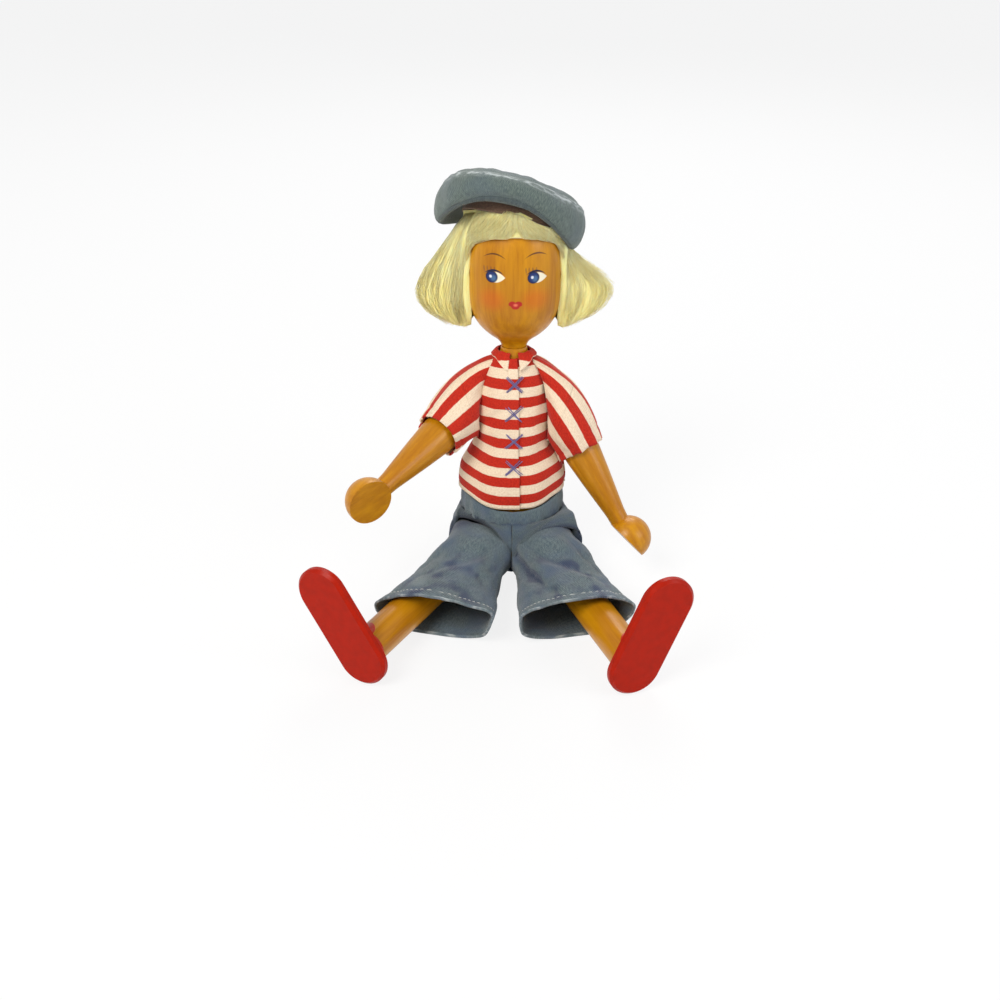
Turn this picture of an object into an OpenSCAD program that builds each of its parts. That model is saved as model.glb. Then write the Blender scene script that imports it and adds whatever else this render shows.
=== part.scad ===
// Strung, turned-wood doll in cloth clothes, sitting with its legs out in front.
// The origin is on the table under the middle of the hip axis. The doll faces -Y.

/* [Pose] */
// Backward lean of the torso
lean = 5; // [0:0.5:10]
// Forward swing of the right arm
arm_swing_right = 62.6; // [50:0.2:70]
// Outward lift of the right arm
arm_lift_right = 37; // [34:0.5:45]
// Forward swing of the left arm
arm_swing_left = 17.6; // [5:0.2:30]
// Outward lift of the left arm
arm_lift_left = 29.5; // [29:0.1:40]
// Forward swing of both legs from standing
leg_swing = 86.8; // [86:0.1:88]
// Outward splay of the right leg
leg_splay_right = 27.5; // [24:0.5:30]
// Outward splay of the left leg
leg_splay_left = 20.3; // [18:0.1:24]

/* [Torso] */
// Height of the hip axis above the table
hip_z = 7.5; // [7.2:0.1:9]
// Height of the torso from the hip axis to the base of the neck
torso_h = 71.6; // [68:0.1:74]
// Largest radius of the turned torso
torso_r = 13.2; // [12:0.1:13.6]
// Thickness of the tongue between the legs
tongue_t = 7; // [5:0.5:7.4]
// Radius of the rounded end of the tongue
tongue_r = 6.3; // [5:0.1:6.5]
// Diameter of the cross holes for the stringing
string_bore_d = 1.7; // [1.7:0.1:2.4]

/* [Head] */
// Height of the turned head with its neck
head_h = 49.5; // [46:0.5:51]
// Largest radius of the head
head_r = 15; // [14:0.1:15.4]
// Gap between the neck and the torso
neck_gap = 0.1; // [0.05:0.05:0.3]
// Diameter of the neck peg
peg_d = 4; // [3:0.1:4.4]
// Length of the peg in the torso
peg_in_torso = 12; // [8:1:16]
// Length of the peg in the head
peg_in_head = 14; // [10:1:18]
// Running clearance of the peg in the head
peg_clear = 0.1; // [0.1:0.05:0.2]

/* [Arms] */
// Sideways place of the shoulder pivots
shoulder_x = 15; // [14.8:0.1:16]
// Depth of the shoulder pivots below the base of the neck
shoulder_drop = 21.6; // [20.6:0.1:23]
// Radius of the rounded top of an arm
arm_r = 6.4; // [6:0.1:6.6]
// Clearance of an arm in its shoulder socket
socket_clear = 0.3; // [0.2:0.05:0.5]
// Length from the pivot to the middle of the hand
arm_len = 50; // [46:0.5:54]
// Radius of the arm at the wrist
wrist_r = 3.15; // [2.8:0.05:3.4]
// Radius of the ball hand
hand_r = 7.5; // [7:0.1:8]
// Slant of the flat palm to the arm
palm_slant = 16; // [8:1:22]
// Depth of the flat palm from the middle of the ball
palm_depth = 1.2; // [0.5:0.1:3]
// Turn of the right palm about the arm
palm_turn_right = -15; // [-180:1:180]
// Turn of the left palm about the arm
palm_turn_left = -4; // [-180:1:180]

/* [Legs] */
// Sideways place of the hip pivots
hip_x = 10; // [10:0.1:11]
// Radius of the rounded top of a leg
leg_r = 6; // [5.6:0.1:6.2]
// Radius of the leg at the ankle
ankle_r = 5.7; // [5.2:0.1:5.9]
// Length from the pivot to the underside of the shoe
leg_len = 78.7; // [76:0.1:82]
// Diameter of the tenon in the shoe
tenon_d = 5; // [4:0.5:7]
// Length of the tenon in the shoe
tenon_h = 2.5; // [1.5:0.1:2.6]
// Length of the shoe sole
sole_l = 40; // [36:0.5:44]
// Width of the shoe sole
sole_w = 16.9; // [15:0.1:17]
// Thickness of the shoe sole
sole_t = 3.3; // [3:0.1:4.5]
// Bevel round the rim of the sole
sole_bevel = 0.9; // [0.5:0.1:1.3]
// Distance from the heel end to the leg's middle
heel_back = 9.85; // [9.3:0.05:10]
// Turn-out of the right toe
toe_out_right = 33.8; // [25:0.2:36]
// Turn-out of the left toe
toe_out_left = 23.1; // [18:0.1:30]

/* [Stringing] */
// Diameter of the wire of the hooks
wire_d = 1.6; // [1.2:0.1:1.6]
// Outer diameter of the eye of a hook
eye_d = 4.4; // [4:0.1:5]
// Width of the slot that takes the eye
slot_w = 2; // [2:0.1:2.6]
// Diameter of the cross pins
pin_d = 1.6; // [1.2:0.1:1.6]
// Length of an arm's cross pin
arm_pin_l = 10; // [8:0.5:11]
// Length of a leg's cross pin
leg_pin_l = 9.4; // [8:0.2:10]
// Running clearance of the pin in the eye
pin_clear = 0.1; // [0.1:0.05:0.2]
// Clearance of a glued pin or tenon in its hole
glue_clear = 0.04; // [0.02:0.02:0.1]
// Half length of the shoulder elastic
shoulder_elastic_half = 4; // [3:0.5:5]
// Half length of the hip elastic
hip_elastic_half = 1.2; // [0.8:0.1:1.6]

/* [Shirt] */
// Thickness of the shirt cloth
shirt_t = 0.8; // [0.5:0.1:0.8]
// Height of the shirt hem above the hip axis
hem_s = 20; // [19.8:0.1:21]
// Depth of the neckline below the base of the neck
neckline_drop = 2.6; // [2.1:0.1:4]
// Half width of the shirt at the hem
shirt_w = 18.2; // [17.6:0.1:19]
// Half depth of the shirt at the hem
shirt_d = 17.3; // [16.8:0.1:18.5]
// Dip of the hem folds
hem_fold = 0.5; // [0.2:0.1:0.7]
// Distance from the shoulder pivot to the cuff
cuff_out = 16; // [15:0.5:18]
// Inner radius of the cuff
cuff_r = 7.2; // [7:0.1:7.6]
// Length of one thread of a cross stitch
stitch_l = 7; // [5:0.5:8]
// Thickness of the stitch thread
stitch_d = 0.9; // [0.6:0.1:1]

/* [Trousers] */
// Thickness of the trouser cloth
denim_t = 0.9; // [0.6:0.1:0.9]
// Height of the top of the waistband above the hip axis
waist_s = 19.2; // [18.6:0.1:19.4]
// Height of the waistband
band_h = 4.4; // [3:0.2:5]
// Outer radius of the waistband
waist_r = 17.3; // [16.8:0.1:17.5]
// Half width of the trouser seat on the table
seat_w = 21; // [20:0.5:23]
// Half depth of the trouser seat on the table
seat_d = 15.5; // [15:0.5:17]
// Half width of a trouser leg at its hem
leg_hem_w = 18.4; // [17.5:0.1:19.5]
// Half height of a trouser leg at its hem
leg_hem_h = 9.1; // [8.8:0.1:10]
// Distance from the hips to the trouser hem
leg_hem_y = 48.4; // [44:0.5:52]
// Clearance of the trouser legs above the table
floor_gap = 0.3; // [0.2:0.1:0.6]

/* [Hair and cap] */
// Half width of the hair at its widest
hair_w = 31; // [27:0.5:33]
// Half depth of the hair behind the head
hair_back_d = 22; // [19:0.5:25]
// Height of the lower edge of the hair above the base of the neck
hair_low_rise = 7.4; // [6.4:0.1:10]
// Height of the middle of the cap's band above the base of the neck
cap_rise = 38.4; // [36.4:0.1:40.4]
// Roll of the cap towards the left ear
cap_roll = 15; // [10:1:18]
// Tilt of the cap towards the back
cap_tilt = 20; // [15:1:24]
// Half width of the cap's band
cap_band_w = 17.2; // [16.8:0.1:18]
// Half depth of the cap's band
cap_band_d = 15; // [15:0.1:16]
// Height of the cap's band
cap_band_h = 3.4; // [2.5:0.1:4]
// Half width of the cap's crown
cap_w = 24; // [21:0.5:26]
// Height of the crown above the foot of the band
cap_h = 14; // [12:0.5:16]
// Roll of the crown towards the left ear
crown_roll = 11; // [9:1:15]
// Shift of the crown towards the right ear
crown_shift = 2.6; // [0:0.1:3]
// Droop of the crown's edge over both ears
crown_droop = 8; // [0:0.5:8.5]
// Thickness of the cap cloth
cap_t = 1; // [0.6:0.1:1.2]

/* [Hidden] */
$fn = 64;

// Heights above the hip axis that follow the base of the neck
shoulder_s = torso_h - shoulder_drop;
neckline_s = torso_h - neckline_drop;
hair_low_s = torso_h + hair_low_rise;
cap_s = torso_h + cap_rise;

wood = [0.80, 0.55, 0.22];
denim = [0.42, 0.48, 0.56];
red = [0.72, 0.15, 0.08];
steel = [0.65, 0.65, 0.68];

// Overrun of every cut
over = 1;

// Turned outlines: radius and height as shares of the largest radius and the height
torso_shares = [[0.80, 0.095], [0.95, 0.14], [1, 0.20], [1, 0.36], [0.93, 0.47],
    [0.86, 0.53], [0.81, 0.587], [0.785, 0.615], [0.757, 0.70], [0.70, 0.80],
    [0.545, 0.88], [0.37, 0.95], [0.32, 1]];
head_shares = [[0.267, 0], [0.31, 0.03], [0.41, 0.06], [0.53, 0.085], [0.667, 0.121],
    [0.787, 0.162], [0.90, 0.222], [0.973, 0.303], [1, 0.40], [1, 0.52], [0.973, 0.64],
    [0.88, 0.768], [0.79, 0.83], [0.68, 0.885], [0.54, 0.93], [0.36, 0.97], [0.17, 0.993]];
// Radius of the arm from the pivot to the wrist: share of the length, share of the radius
arm_shares = [[0, 1], [0.2, 1], [0.3, 0.985], [0.36, 0.955], [0.52, 0.81], [0.68, 0.645],
    [0.8, 0.52]];
wrist_share = 0.864;
// Swell of the leg: share of the length, share of the radius
leg_shares = [[0, 1], [0.1, 0.96], [0.35, 0.965], [0.6, 0.975]];

function side_angle(side, right, left) = side < 0 ? right : left;
function mean(L) = [for (k = [0, 1, 2]) ([for (p = L) 1] * [for (p = L) p[k]]) / len(L)];
function unit(v) = v / norm(v);
function smooth(k) = k * k * (3 - 2 * k);
function sq(c, e) = sign(c) * pow(abs(c), e);

// Column number that wraps round a tube or stops at the edge of a sheet
function col(j, m, wrap) = wrap ? (j + m) % m : min(max(j, 0), m - 1);
function normal_at(P, i, j, wrap) = let (n = len(P), m = len(P[0]),
    a = P[i][col(j + 1, m, wrap)] - P[i][col(j - 1, m, wrap)],
    b = P[min(i + 1, n - 1)][j] - P[max(i - 1, 0)][j]) unit(cross(a, b));
// Grid moved back from another along its own normals
function inset(P, t, wrap) = [for (i = [0 : len(P) - 1])
    [for (j = [0 : len(P[0]) - 1]) P[i][j] - t * normal_at(P, i, j, wrap)]];

// Closed solid between an outer grid of points and an inner one
module skin(outer, inner, wrap, cap = false) {
    n = len(outer);
    m = len(outer[0]);
    last = wrap ? m - 1 : m - 2;
    function id(g, i, j) = (g * n + i) * m + col(j, m, wrap);
    tip = 2 * n * m;
    points = concat([for (g = [outer, inner]) for (r = g) for (p = r) p],
        cap ? [mean(outer[n - 1]), mean(inner[n - 1])] : []);
    walls = [for (i = [0 : n - 2]) for (j = [0 : last]) each [
        [id(0, i, j), id(0, i + 1, j), id(0, i, j + 1)],
        [id(0, i, j + 1), id(0, i + 1, j), id(0, i + 1, j + 1)],
        [id(1, i, j), id(1, i, j + 1), id(1, i + 1, j)],
        [id(1, i, j + 1), id(1, i + 1, j + 1), id(1, i + 1, j)]]];
    foot = [for (j = [0 : last]) each [
        [id(0, 0, j), id(0, 0, j + 1), id(1, 0, j + 1)],
        [id(0, 0, j), id(1, 0, j + 1), id(1, 0, j)]]];
    e = n - 1;
    top = cap
        ? [for (j = [0 : last]) each [
            [id(0, e, j + 1), id(0, e, j), tip], [id(1, e, j), id(1, e, j + 1), tip + 1]]]
        : [for (j = [0 : last]) each [
            [id(0, e, j + 1), id(0, e, j), id(1, e, j)],
            [id(0, e, j + 1), id(1, e, j), id(1, e, j + 1)]]];
    z = m - 1;
    sides = wrap ? [] : [for (i = [0 : n - 2]) each [
        [id(0, i + 1, 0), id(0, i, 0), id(1, i, 0)],
        [id(0, i + 1, 0), id(1, i, 0), id(1, i + 1, 0)],
        [id(0, i, z), id(0, i + 1, z), id(1, i + 1, z)],
        [id(0, i, z), id(1, i + 1, z), id(1, i, z)]]];
    polyhedron(points = points, faces = concat(walls, foot, top, sides));
}

module cloth(P, t, wrap = true, cap = false) {
    skin(P, inset(P, t, wrap), wrap, cap);
}

// Frame of the torso: origin in the middle of the hip axis, Z along the body
module torso_frame() {
    translate([0, 0, hip_z]) rotate([-lean, 0, 0]) children();
}

// Frames of the shoulder hooks and of the arms, which hang along -Z in them
module shoulder_frame(side) {
    swing = side_angle(side, arm_swing_right, arm_swing_left);
    torso_frame() translate([side * shoulder_x, 0, shoulder_s]) rotate([-swing, 0, 0]) children();
}
module arm_frame(side) {
    lift = side_angle(side, arm_lift_right, arm_lift_left);
    shoulder_frame(side) rotate([0, -side * lift, 0]) children();
}

// Frames of the hip hooks and of the legs, which hang along -Z in them
module hip_frame(side) {
    torso_frame() translate([side * hip_x, 0, 0]) rotate([-leg_swing, 0, 0]) children();
}
module leg_frame(side) {
    splay = side_angle(side, leg_splay_right, leg_splay_left);
    hip_frame(side) rotate([0, -side * splay, 0]) children();
}

// Cylinder along X from one place to another
module x_rod(x0, x1, d) {
    translate([min(x0, x1), 0, 0]) rotate([0, 90, 0]) cylinder(d = d, h = abs(x1 - x0));
}
// Cylinder along Y, centred
module y_rod(l, d) {
    rotate([90, 0, 0]) cylinder(d = d, h = l, center = true);
}

// Turned torso with a tongue between the legs, shoulder sockets and string holes
module torso() {
    color(wood) torso_frame() difference() {
        union() {
            rotate_extrude() polygon(concat([[0, torso_shares[0][1] * torso_h]],
                [for (p = torso_shares) [p[0] * torso_r, p[1] * torso_h - p[1] * neck_gap]],
                [[0, torso_h - neck_gap]]));
            rotate([0, 90, 0]) cylinder(r = tongue_r, h = tongue_t, center = true);
            translate([-tongue_t / 2, -tongue_r, 0])
                cube([tongue_t, 2 * tongue_r, torso_shares[1][1] * torso_h]);
        }
        for (side = [-1, 1]) translate([side * shoulder_x, 0, shoulder_s])
            sphere(r = arm_r + socket_clear);
        translate([0, 0, shoulder_s]) x_rod(-shoulder_x, shoulder_x, string_bore_d);
        x_rod(-tongue_t, tongue_t, string_bore_d);
        translate([0, 0, torso_h - peg_in_torso])
            cylinder(d = peg_d + glue_clear, h = peg_in_torso + over);
    }
}

// Dowel that the head turns on, glued into the torso
module neck_peg() {
    color(wood) torso_frame() translate([0, 0, torso_h - peg_in_torso])
        cylinder(d = peg_d, h = peg_in_torso + peg_in_head - over);
}

module shoulder_elastic() {
    color("white") torso_frame() translate([0, 0, shoulder_s])
        x_rod(-shoulder_elastic_half, shoulder_elastic_half, wire_d);
}
module hip_elastic() {
    color("white") torso_frame() x_rod(-hip_elastic_half, hip_elastic_half, wire_d);
}

// Wire hook: a shank that turns in the cross hole and an eye at the pivot
module hook(side, pivot_x, inner_x) {
    difference() {
        union() {
            y_rod(wire_d, eye_d);
            x_rod(-side * (pivot_x - inner_x), -side * eye_d / 2 + side * wire_d / 4, wire_d);
        }
        y_rod(wire_d + over, pin_d + pin_clear);
    }
}
module shoulder_hook(side) {
    color(steel) shoulder_frame(side) hook(side, shoulder_x, shoulder_elastic_half);
}
module hip_hook(side) {
    color(steel) hip_frame(side) hook(side, hip_x, hip_elastic_half);
}
module shoulder_hook_right() { shoulder_hook(-1); }
module shoulder_hook_left() { shoulder_hook(1); }
module hip_hook_right() { hip_hook(-1); }
module hip_hook_left() { hip_hook(1); }

module arm_pin(side) { color(steel) arm_frame(side) y_rod(arm_pin_l, pin_d); }
module leg_pin(side) { color(steel) leg_frame(side) y_rod(leg_pin_l, pin_d); }
module arm_pin_right() { arm_pin(-1); }
module arm_pin_left() { arm_pin(1); }
module leg_pin_right() { leg_pin(-1); }
module leg_pin_left() { leg_pin(1); }

// Slot for the eye, open inwards and upwards, and the hole for the cross pin
module limb_cuts(side, r) {
    seat = eye_d / 2 + pin_clear;
    translate([side < 0 ? -seat : -r - over, -slot_w / 2, -seat])
        cube([seat + r + over, slot_w, seat + r + over]);
    y_rod(2 * r + 2 * over, pin_d + glue_clear);
}

// Turned arm with a ball hand that is cut flat for the palm
module arm(side) {
    turn = side_angle(side, palm_turn_right, palm_turn_left);
    color(wood) arm_frame(side) difference() {
        union() {
            sphere(r = arm_r);
            rotate_extrude() polygon(concat(
                [[0, 0]], [for (p = arm_shares) [p[1] * arm_r, -p[0] * arm_len]],
                [[wrist_r, -wrist_share * arm_len], [0, -arm_len]]));
            translate([0, 0, -arm_len]) sphere(r = hand_r);
        }
        limb_cuts(side, arm_r);
        translate([0, 0, -arm_len]) rotate([0, 0, -side * turn]) rotate([0, -side * palm_slant, 0])
            translate([-side * (palm_depth + hand_r), 0, 0])
                cube([2 * hand_r, 3 * hand_r, 3 * hand_r], center = true);
    }
}
module arm_right() { arm(-1); }
module arm_left() { arm(1); }

// Turned leg with a tenon for the shoe
module leg(side) {
    foot = leg_len - sole_t;
    color(wood) leg_frame(side) difference() {
        union() {
            sphere(r = leg_r);
            rotate_extrude() polygon(concat([[0, 0]],
                [for (p = leg_shares) [p[1] * leg_r, -p[0] * foot]],
                [[ankle_r, -foot], [0, -foot]]));
            translate([0, 0, -foot - tenon_h]) cylinder(d = tenon_d, h = tenon_h + over);
        }
        limb_cuts(side, leg_r);
    }
}
module leg_right() { leg(-1); }
module leg_left() { leg(1); }

// Flat shoe with round ends and a bevelled rim, toe along -Y
module sole(side) {
    r = sole_w / 2;
    run = sole_l - sole_w;
    rim = [[r - sole_bevel, 0], [r, sole_bevel], [r, sole_t - sole_bevel], [r - sole_bevel, sole_t]];
    toe = side_angle(side, toe_out_right, toe_out_left);
    color(red) leg_frame(side) translate([0, 0, -leg_len]) rotate([0, 0, side * toe])
        difference() {
            translate([0, heel_back - r, 0]) union() {
                for (y = [0, -run]) translate([0, y, 0])
                    rotate_extrude() polygon(concat([[0, 0]], rim, [[0, sole_t]]));
                rotate([90, 0, 0]) linear_extrude(run)
                    polygon(concat(rim, [for (k = [3 : -1 : 0]) [-rim[k][0], rim[k][1]]]));
            }
            translate([0, 0, sole_t - tenon_h])
                cylinder(d = tenon_d + glue_clear, h = tenon_h + over);
        }
}
module shoe_sole_right() { sole(-1); }
module shoe_sole_left() { sole(1); }

// Turned head with its neck and the blind hole for the peg
module head() {
    color(wood) torso_frame() translate([0, 0, torso_h]) difference() {
        rotate_extrude() polygon(concat([[0, 0]],
            [for (p = head_shares) [p[0] * head_r, p[1] * head_h]], [[0, head_h]]));
        translate([0, 0, -over]) cylinder(d = peg_d + peg_clear, h = peg_in_head + over);
    }
}

// Radius of the head at a height above the hip axis
function head_at(s) = head_r * lookup((s - torso_h) / head_h, [for (p = head_shares) [p[1], p[0]]]);
// Height of the foot of the cap's band over a place on the head
function cap_plane(x, y) = cap_s - (x - cap_mid[0]) * tan(cap_roll) - (y - cap_mid[1]) * tan(cap_tilt);
// Middle of the cap as shares of the head's radius
cap_mid_shares = [-0.02, 0.12];
cap_mid = cap_mid_shares * head_r;

// Hair: a bob that hangs from under the cap, open at the face
hair_rows = 9;
hair_cols = 26;
hair_open = 72;
// Fullness of the hair from its lower edge to the cap: height share, width share
hair_full_shares = [[0, 0.66], [0.12, 0.90], [0.3, 1], [0.5, 0.93], [0.7, 0.78], [0.86, 0.66], [1, 0.56]];
hair_edge_share = 0.06;
// Room left over the hair beside the ears as a share of the crown's droop
hair_drop_share = 0.3;
module hair() {
    function angle(j) = hair_open + (360 - 2 * hair_open) * j / hair_cols;
    function way(j) = [sin(angle(j)), -cos(angle(j))];
    function top_s(j) = cap_plane(head_r * way(j)[0], head_r * way(j)[1]) - 2 * cap_t
        - hair_drop_share * crown_droop * pow(way(j)[0], 2);
    function at_s(i, j) = hair_low_s + (top_s(j) - hair_low_s) * i / hair_rows;
    function in_r(i, j) = head_at(max(at_s(i, j), torso_h + head_h / 4)) + socket_clear;
    function out_r(i, j) = let (full = lookup(i / hair_rows, hair_full_shares), w = way(j),
        edge = smooth(min(1, 10 * min(j, hair_cols - j) / hair_cols)),
        r = full / sqrt(pow(w[0] / hair_w, 2) + pow(w[1] / hair_back_d, 2)))
        max(in_r(i, j) + hair_edge_share * head_r + (r - in_r(i, j)) * edge,
            in_r(i, j) + hair_edge_share * head_r);
    function shell(f) = [for (i = [0 : hair_rows]) [for (j = [0 : hair_cols])
        let (r = f == 0 ? in_r(i, j) : out_r(i, j)) [r * way(j)[0], r * way(j)[1], at_s(i, j)]]];
    color([0.91, 0.86, 0.68]) torso_frame() skin(shell(1), shell(0), false);
}

// Frame of the cap: Z through the crown, origin at the foot of the band
module cap_frame(roll) {
    torso_frame() translate([cap_mid[0], cap_mid[1], cap_s])
        rotate([-cap_tilt, roll, 0]) children();
}
cap_cols = 32;
// Crown from the edge over the top: shares of the half width, height, droop and shift
crown_shares = [[0.93, 0.33, 1, 1], [0.985, 0.42, 0.82, 1], [1, 0.53, 0.59, 1],
    [0.965, 0.68, 0.33, 1], [0.86, 0.82, 0.14, 1], [0.66, 0.93, 0.04, 1],
    [0.4, 0.985, 0, 1], [0.14, 1, 0, 1]];
under_shares = [[0.775, 0.285, 0, 0], [0.84, 0.265, 0.3, 0.5], [0.89, 0.265, 0.92, 1]];
// Depth of the crown as a share of its width over the band's own proportions
cap_depth_share = 1.06;
// Soft dents round the crown
cap_dent_share = 0.03;
function cap_ring(p) = [for (j = [0 : cap_cols - 1]) let (a = j * 360 / cap_cols,
    r = cap_w * p[0] * (1 + cap_dent_share * sin(3 * a + 40) * p[0]),
    z = cap_h * p[1] + cap_dent_share * cap_h * sin(2 * a + 20) - crown_droop * p[2] * pow(cos(a), 2))
    [r * cos(a) - crown_shift * p[3], r * cap_band_d / cap_band_w * sin(a) * cap_depth_share, z]];
module cap_top() {
    color(denim) cap_frame(crown_roll)
        cloth([for (p = crown_shares) cap_ring(p)], cap_t, cap = true);
}
module cap_underside() {
    color(denim) cap_frame(crown_roll)
        cloth([for (k = [2, 1, 0]) cap_ring(under_shares[k])], cap_t);
}
module cap_band() {
    ring = [for (z = [0, cap_band_h / 2, cap_band_h]) [for (j = [0 : cap_cols - 1])
        let (a = j * 360 / cap_cols) [cap_band_w * cos(a), cap_band_d * sin(a), z]]];
    color([0.42, 0.27, 0.16]) cap_frame(cap_roll) cloth(ring, cap_t);
}

// Shirt section by height above the hem: share of the hem's half width and half depth
shirt_rows = 10;
shirt_span = neckline_s - hem_s;
shirt_w_shares = [[0, 1], [0.1, 1], [0.2, 0.965], [0.285, 0.83], [0.35, 0.70], [0.42, 0.70],
    [0.62, 0.715], [0.82, 0.58], [0.94, 0.45], [1, 0.385]];
shirt_d_shares = [[0, 1], [0.1, 0.985], [0.2, 0.945], [0.37, 0.83], [0.62, 0.68], [0.82, 0.555],
    [0.94, 0.43], [1, 0.385]];
// Sideways place of the raglan seam by height above the hem: share of the half width
seam_shares = [[0, 1], [0.35, 1], [0.42, 0.64], [0.62, 0.58], [0.82, 0.475], [0.94, 0.38], [1, 0.335]];
// Place of the sleeve's end along the seam: share of the half width
sleeve_seam_shares = [[0.37, 0.74], [0.42, 0.7], [0.5, 0.665], [0.62, 0.63], [0.82, 0.515],
    [0.94, 0.42], [1, 0.37]];
shirt_levels = [1, 0.92, 0.82, 0.72, 0.62, 0.52, 0.43, 0.36, 0.285, 0.2, 0.1, 0];
function shirt_half(k, a) = let (fold = hem_fold * pow(1 - k, 2) * sin(7 * a))
    [shirt_w * lookup(k, shirt_w_shares) + fold, shirt_d * lookup(k, shirt_d_shares) + fold];
function shirt_point(k, a, in) = let (h = shirt_half(k, a))
    [(h[0] - in) * cos(a), -(h[1] - in) * sin(a), hem_s + k * shirt_span];
function seam_angle(k) = let (w = lookup(k, shirt_w_shares), e = lookup(k, seam_shares))
    e >= w ? 0 : acos(e / w);
// Panel between two angles from the side seam, in the torso frame
function panel(from, to, cols, in) = [for (k = shirt_levels) [for (j = [0 : cols])
    let (g = seam_angle(k), lo = from == 0 ? g : from < 0 ? from - g : from,
        hi = to == 180 ? 180 - g : to) shirt_point(k, lo + (hi - lo) * j / cols, in)]];
front_cols = 11;
lap_angle = 82;
lap_gap = 1.6;
lap_inset = 0.2;
module shirt_front_left() {
    color([0.85, 0.45, 0.35]) torso_frame()
        cloth(panel(0, lap_angle - lap_gap, front_cols, lap_inset), shirt_t, false);
}
module shirt_front_right() {
    color([0.85, 0.42, 0.32]) torso_frame()
        cloth(panel(lap_angle, 180, front_cols, 0), shirt_t, false);
}
back_cols = 18;
side_gap = 1;
module shirt_back() {
    back = [for (k = shirt_levels) [for (j = [0 : back_cols])
        let (g = seam_angle(k) + side_gap) shirt_point(k, 180 + g + (180 - 2 * g) * j / back_cols, 0)]];
    color([0.85, 0.45, 0.35]) torso_frame() cloth(back, shirt_t, false);
}

// Direction of an arm in the torso frame
function arm_way(side) = let (l = side_angle(side, arm_lift_right, arm_lift_left),
    w = side_angle(side, arm_swing_right, arm_swing_left))
    [side * sin(l), -cos(l) * sin(w), -cos(l) * cos(w)];
sleeve_rows = 5;
sleeve_cols = 22;
// Raglan end of a sleeve: half height as a share of the shoulder height, half depth of the shirt's
sleeve_root_shares = [0.275, 0.45];
// Fullness under the arm and over the shoulder as shares of the arm's radius
sleeve_full_shares = [1.25, 2.3];
sleeve_lean_share = 0.9;
module sleeve(side) {
    d = arm_way(side);
    pivot = [side * shoulder_x, 0, shoulder_s];
    out = [side * sleeve_lean_share, 0, 1];
    u = unit(out - (out * d) * d);
    v = cross(d, u);
    root_h = sleeve_root_shares[0] * shoulder_s;
    function root(a) = let (s = shoulder_s + cuff_out / 6 + root_h * cos(a))
        [side * shirt_w * lookup((s - hem_s) / shirt_span, sleeve_seam_shares),
            -side * sleeve_root_shares[1] * shirt_d * sin(a), s];
    function at(k, a) = let (w = u * cos(a) + v * sin(a),
        f = sleeve_full_shares[0] + (sleeve_full_shares[1] - sleeve_full_shares[0])
            * min(1, 1.2 * (1 + cos(a)) / 2 + pow(sin(a), 2) * 0.4),
        full = pivot + f * arm_r * unit(w + [0, -side * sin(a), cos(a)]),
        cuff = pivot + cuff_out * d + (cuff_r + shirt_t) * w)
        (1 - k) * (1 - k) * root(a) + 2 * k * (1 - k) * full + k * k * cuff;
    color([0.85, 0.45, 0.35]) torso_frame() cloth([for (i = [0 : sleeve_rows])
        [for (j = [0 : sleeve_cols - 1]) at(i / sleeve_rows, j * 360 / sleeve_cols)]], shirt_t);
}
module sleeve_right() { sleeve(-1); }
module sleeve_left() { sleeve(1); }

// Folded collar, one half on each side of the front opening
collar_cols = 10;
// From the fold at the neck to the edge: radius as a share of the shirt's depth, rise in cloth
collar_shares = [[0.335, 2.8], [0.40, 1.8], [0.475, 0.2]];
collar_turn = [3, 166];
collar_tip_share = 0.06;
module collar(side) {
    function at(p, j) = let (k = j / collar_cols,
        a = collar_turn[0] + (collar_turn[1] - collar_turn[0]) * k,
        reach = (p[0] - collar_shares[0][0]) / collar_shares[0][0], tip = max(0, 4 * k - 3) * reach,
        r = shirt_d * (p[0] + collar_tip_share * tip))
        [side * r * sin(a), r * cos(a), neckline_s + p[1] * shirt_t - tip * 4 * shirt_t];
    cols = side < 0 ? [for (j = [collar_cols : -1 : 0]) j] : [for (j = [0 : collar_cols]) j];
    color([0.90, 0.75, 0.65]) torso_frame()
        cloth([for (p = collar_shares) [for (j = cols) at(p, j)]], shirt_t, false);
}
module collar_right() { collar(-1); }
module collar_left() { collar(1); }

// Crosses of thick thread that close the front, each from two crossed stitches
stitch_shares = [0.29, 0.47, 0.65, 0.84];
module front_stitches() {
    color([0.32, 0.30, 0.52]) torso_frame() for (k = stitch_shares) {
        y = shirt_point(k, 90, 0)[1];
        slope = atan2(shirt_point(k + 0.05, 90, 0)[1] - shirt_point(k - 0.05, 90, 0)[1], 0.1 * shirt_span);
        translate([0, y - stitch_d / 2 - glue_clear, hem_s + k * shirt_span]) rotate([-slope, 0, 0])
            for (a = [-48, 48]) rotate([0, a, 0]) cylinder(d = stitch_d, h = stitch_l, center = true);
    }
}

module waistband() {
    color(denim) torso_frame() translate([0, 0, waist_s - band_h]) difference() {
        cylinder(r = waist_r, h = band_h);
        translate([0, 0, -over]) cylinder(r = waist_r - denim_t, h = band_h + 2 * over);
    }
}

// Legs of the trousers: wide tubes from the lap to the hem, k along and a round them
leg_rows = 10;
leg_cols = 28;
leg_mid_share = 0.97;
// Middle of each hem as a share of its distance from the hips
hem_mid_shares = [0.508, 0.428];
// Lap end: place and half width as shares of the hip's place, the seat's half depth
// and the leg's radius, and slant as a share of the seat's half depth
root_place_shares = [1.2, 0.73];
root_w_share = 1.89;
root_slant_share = 0.42;
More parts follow.
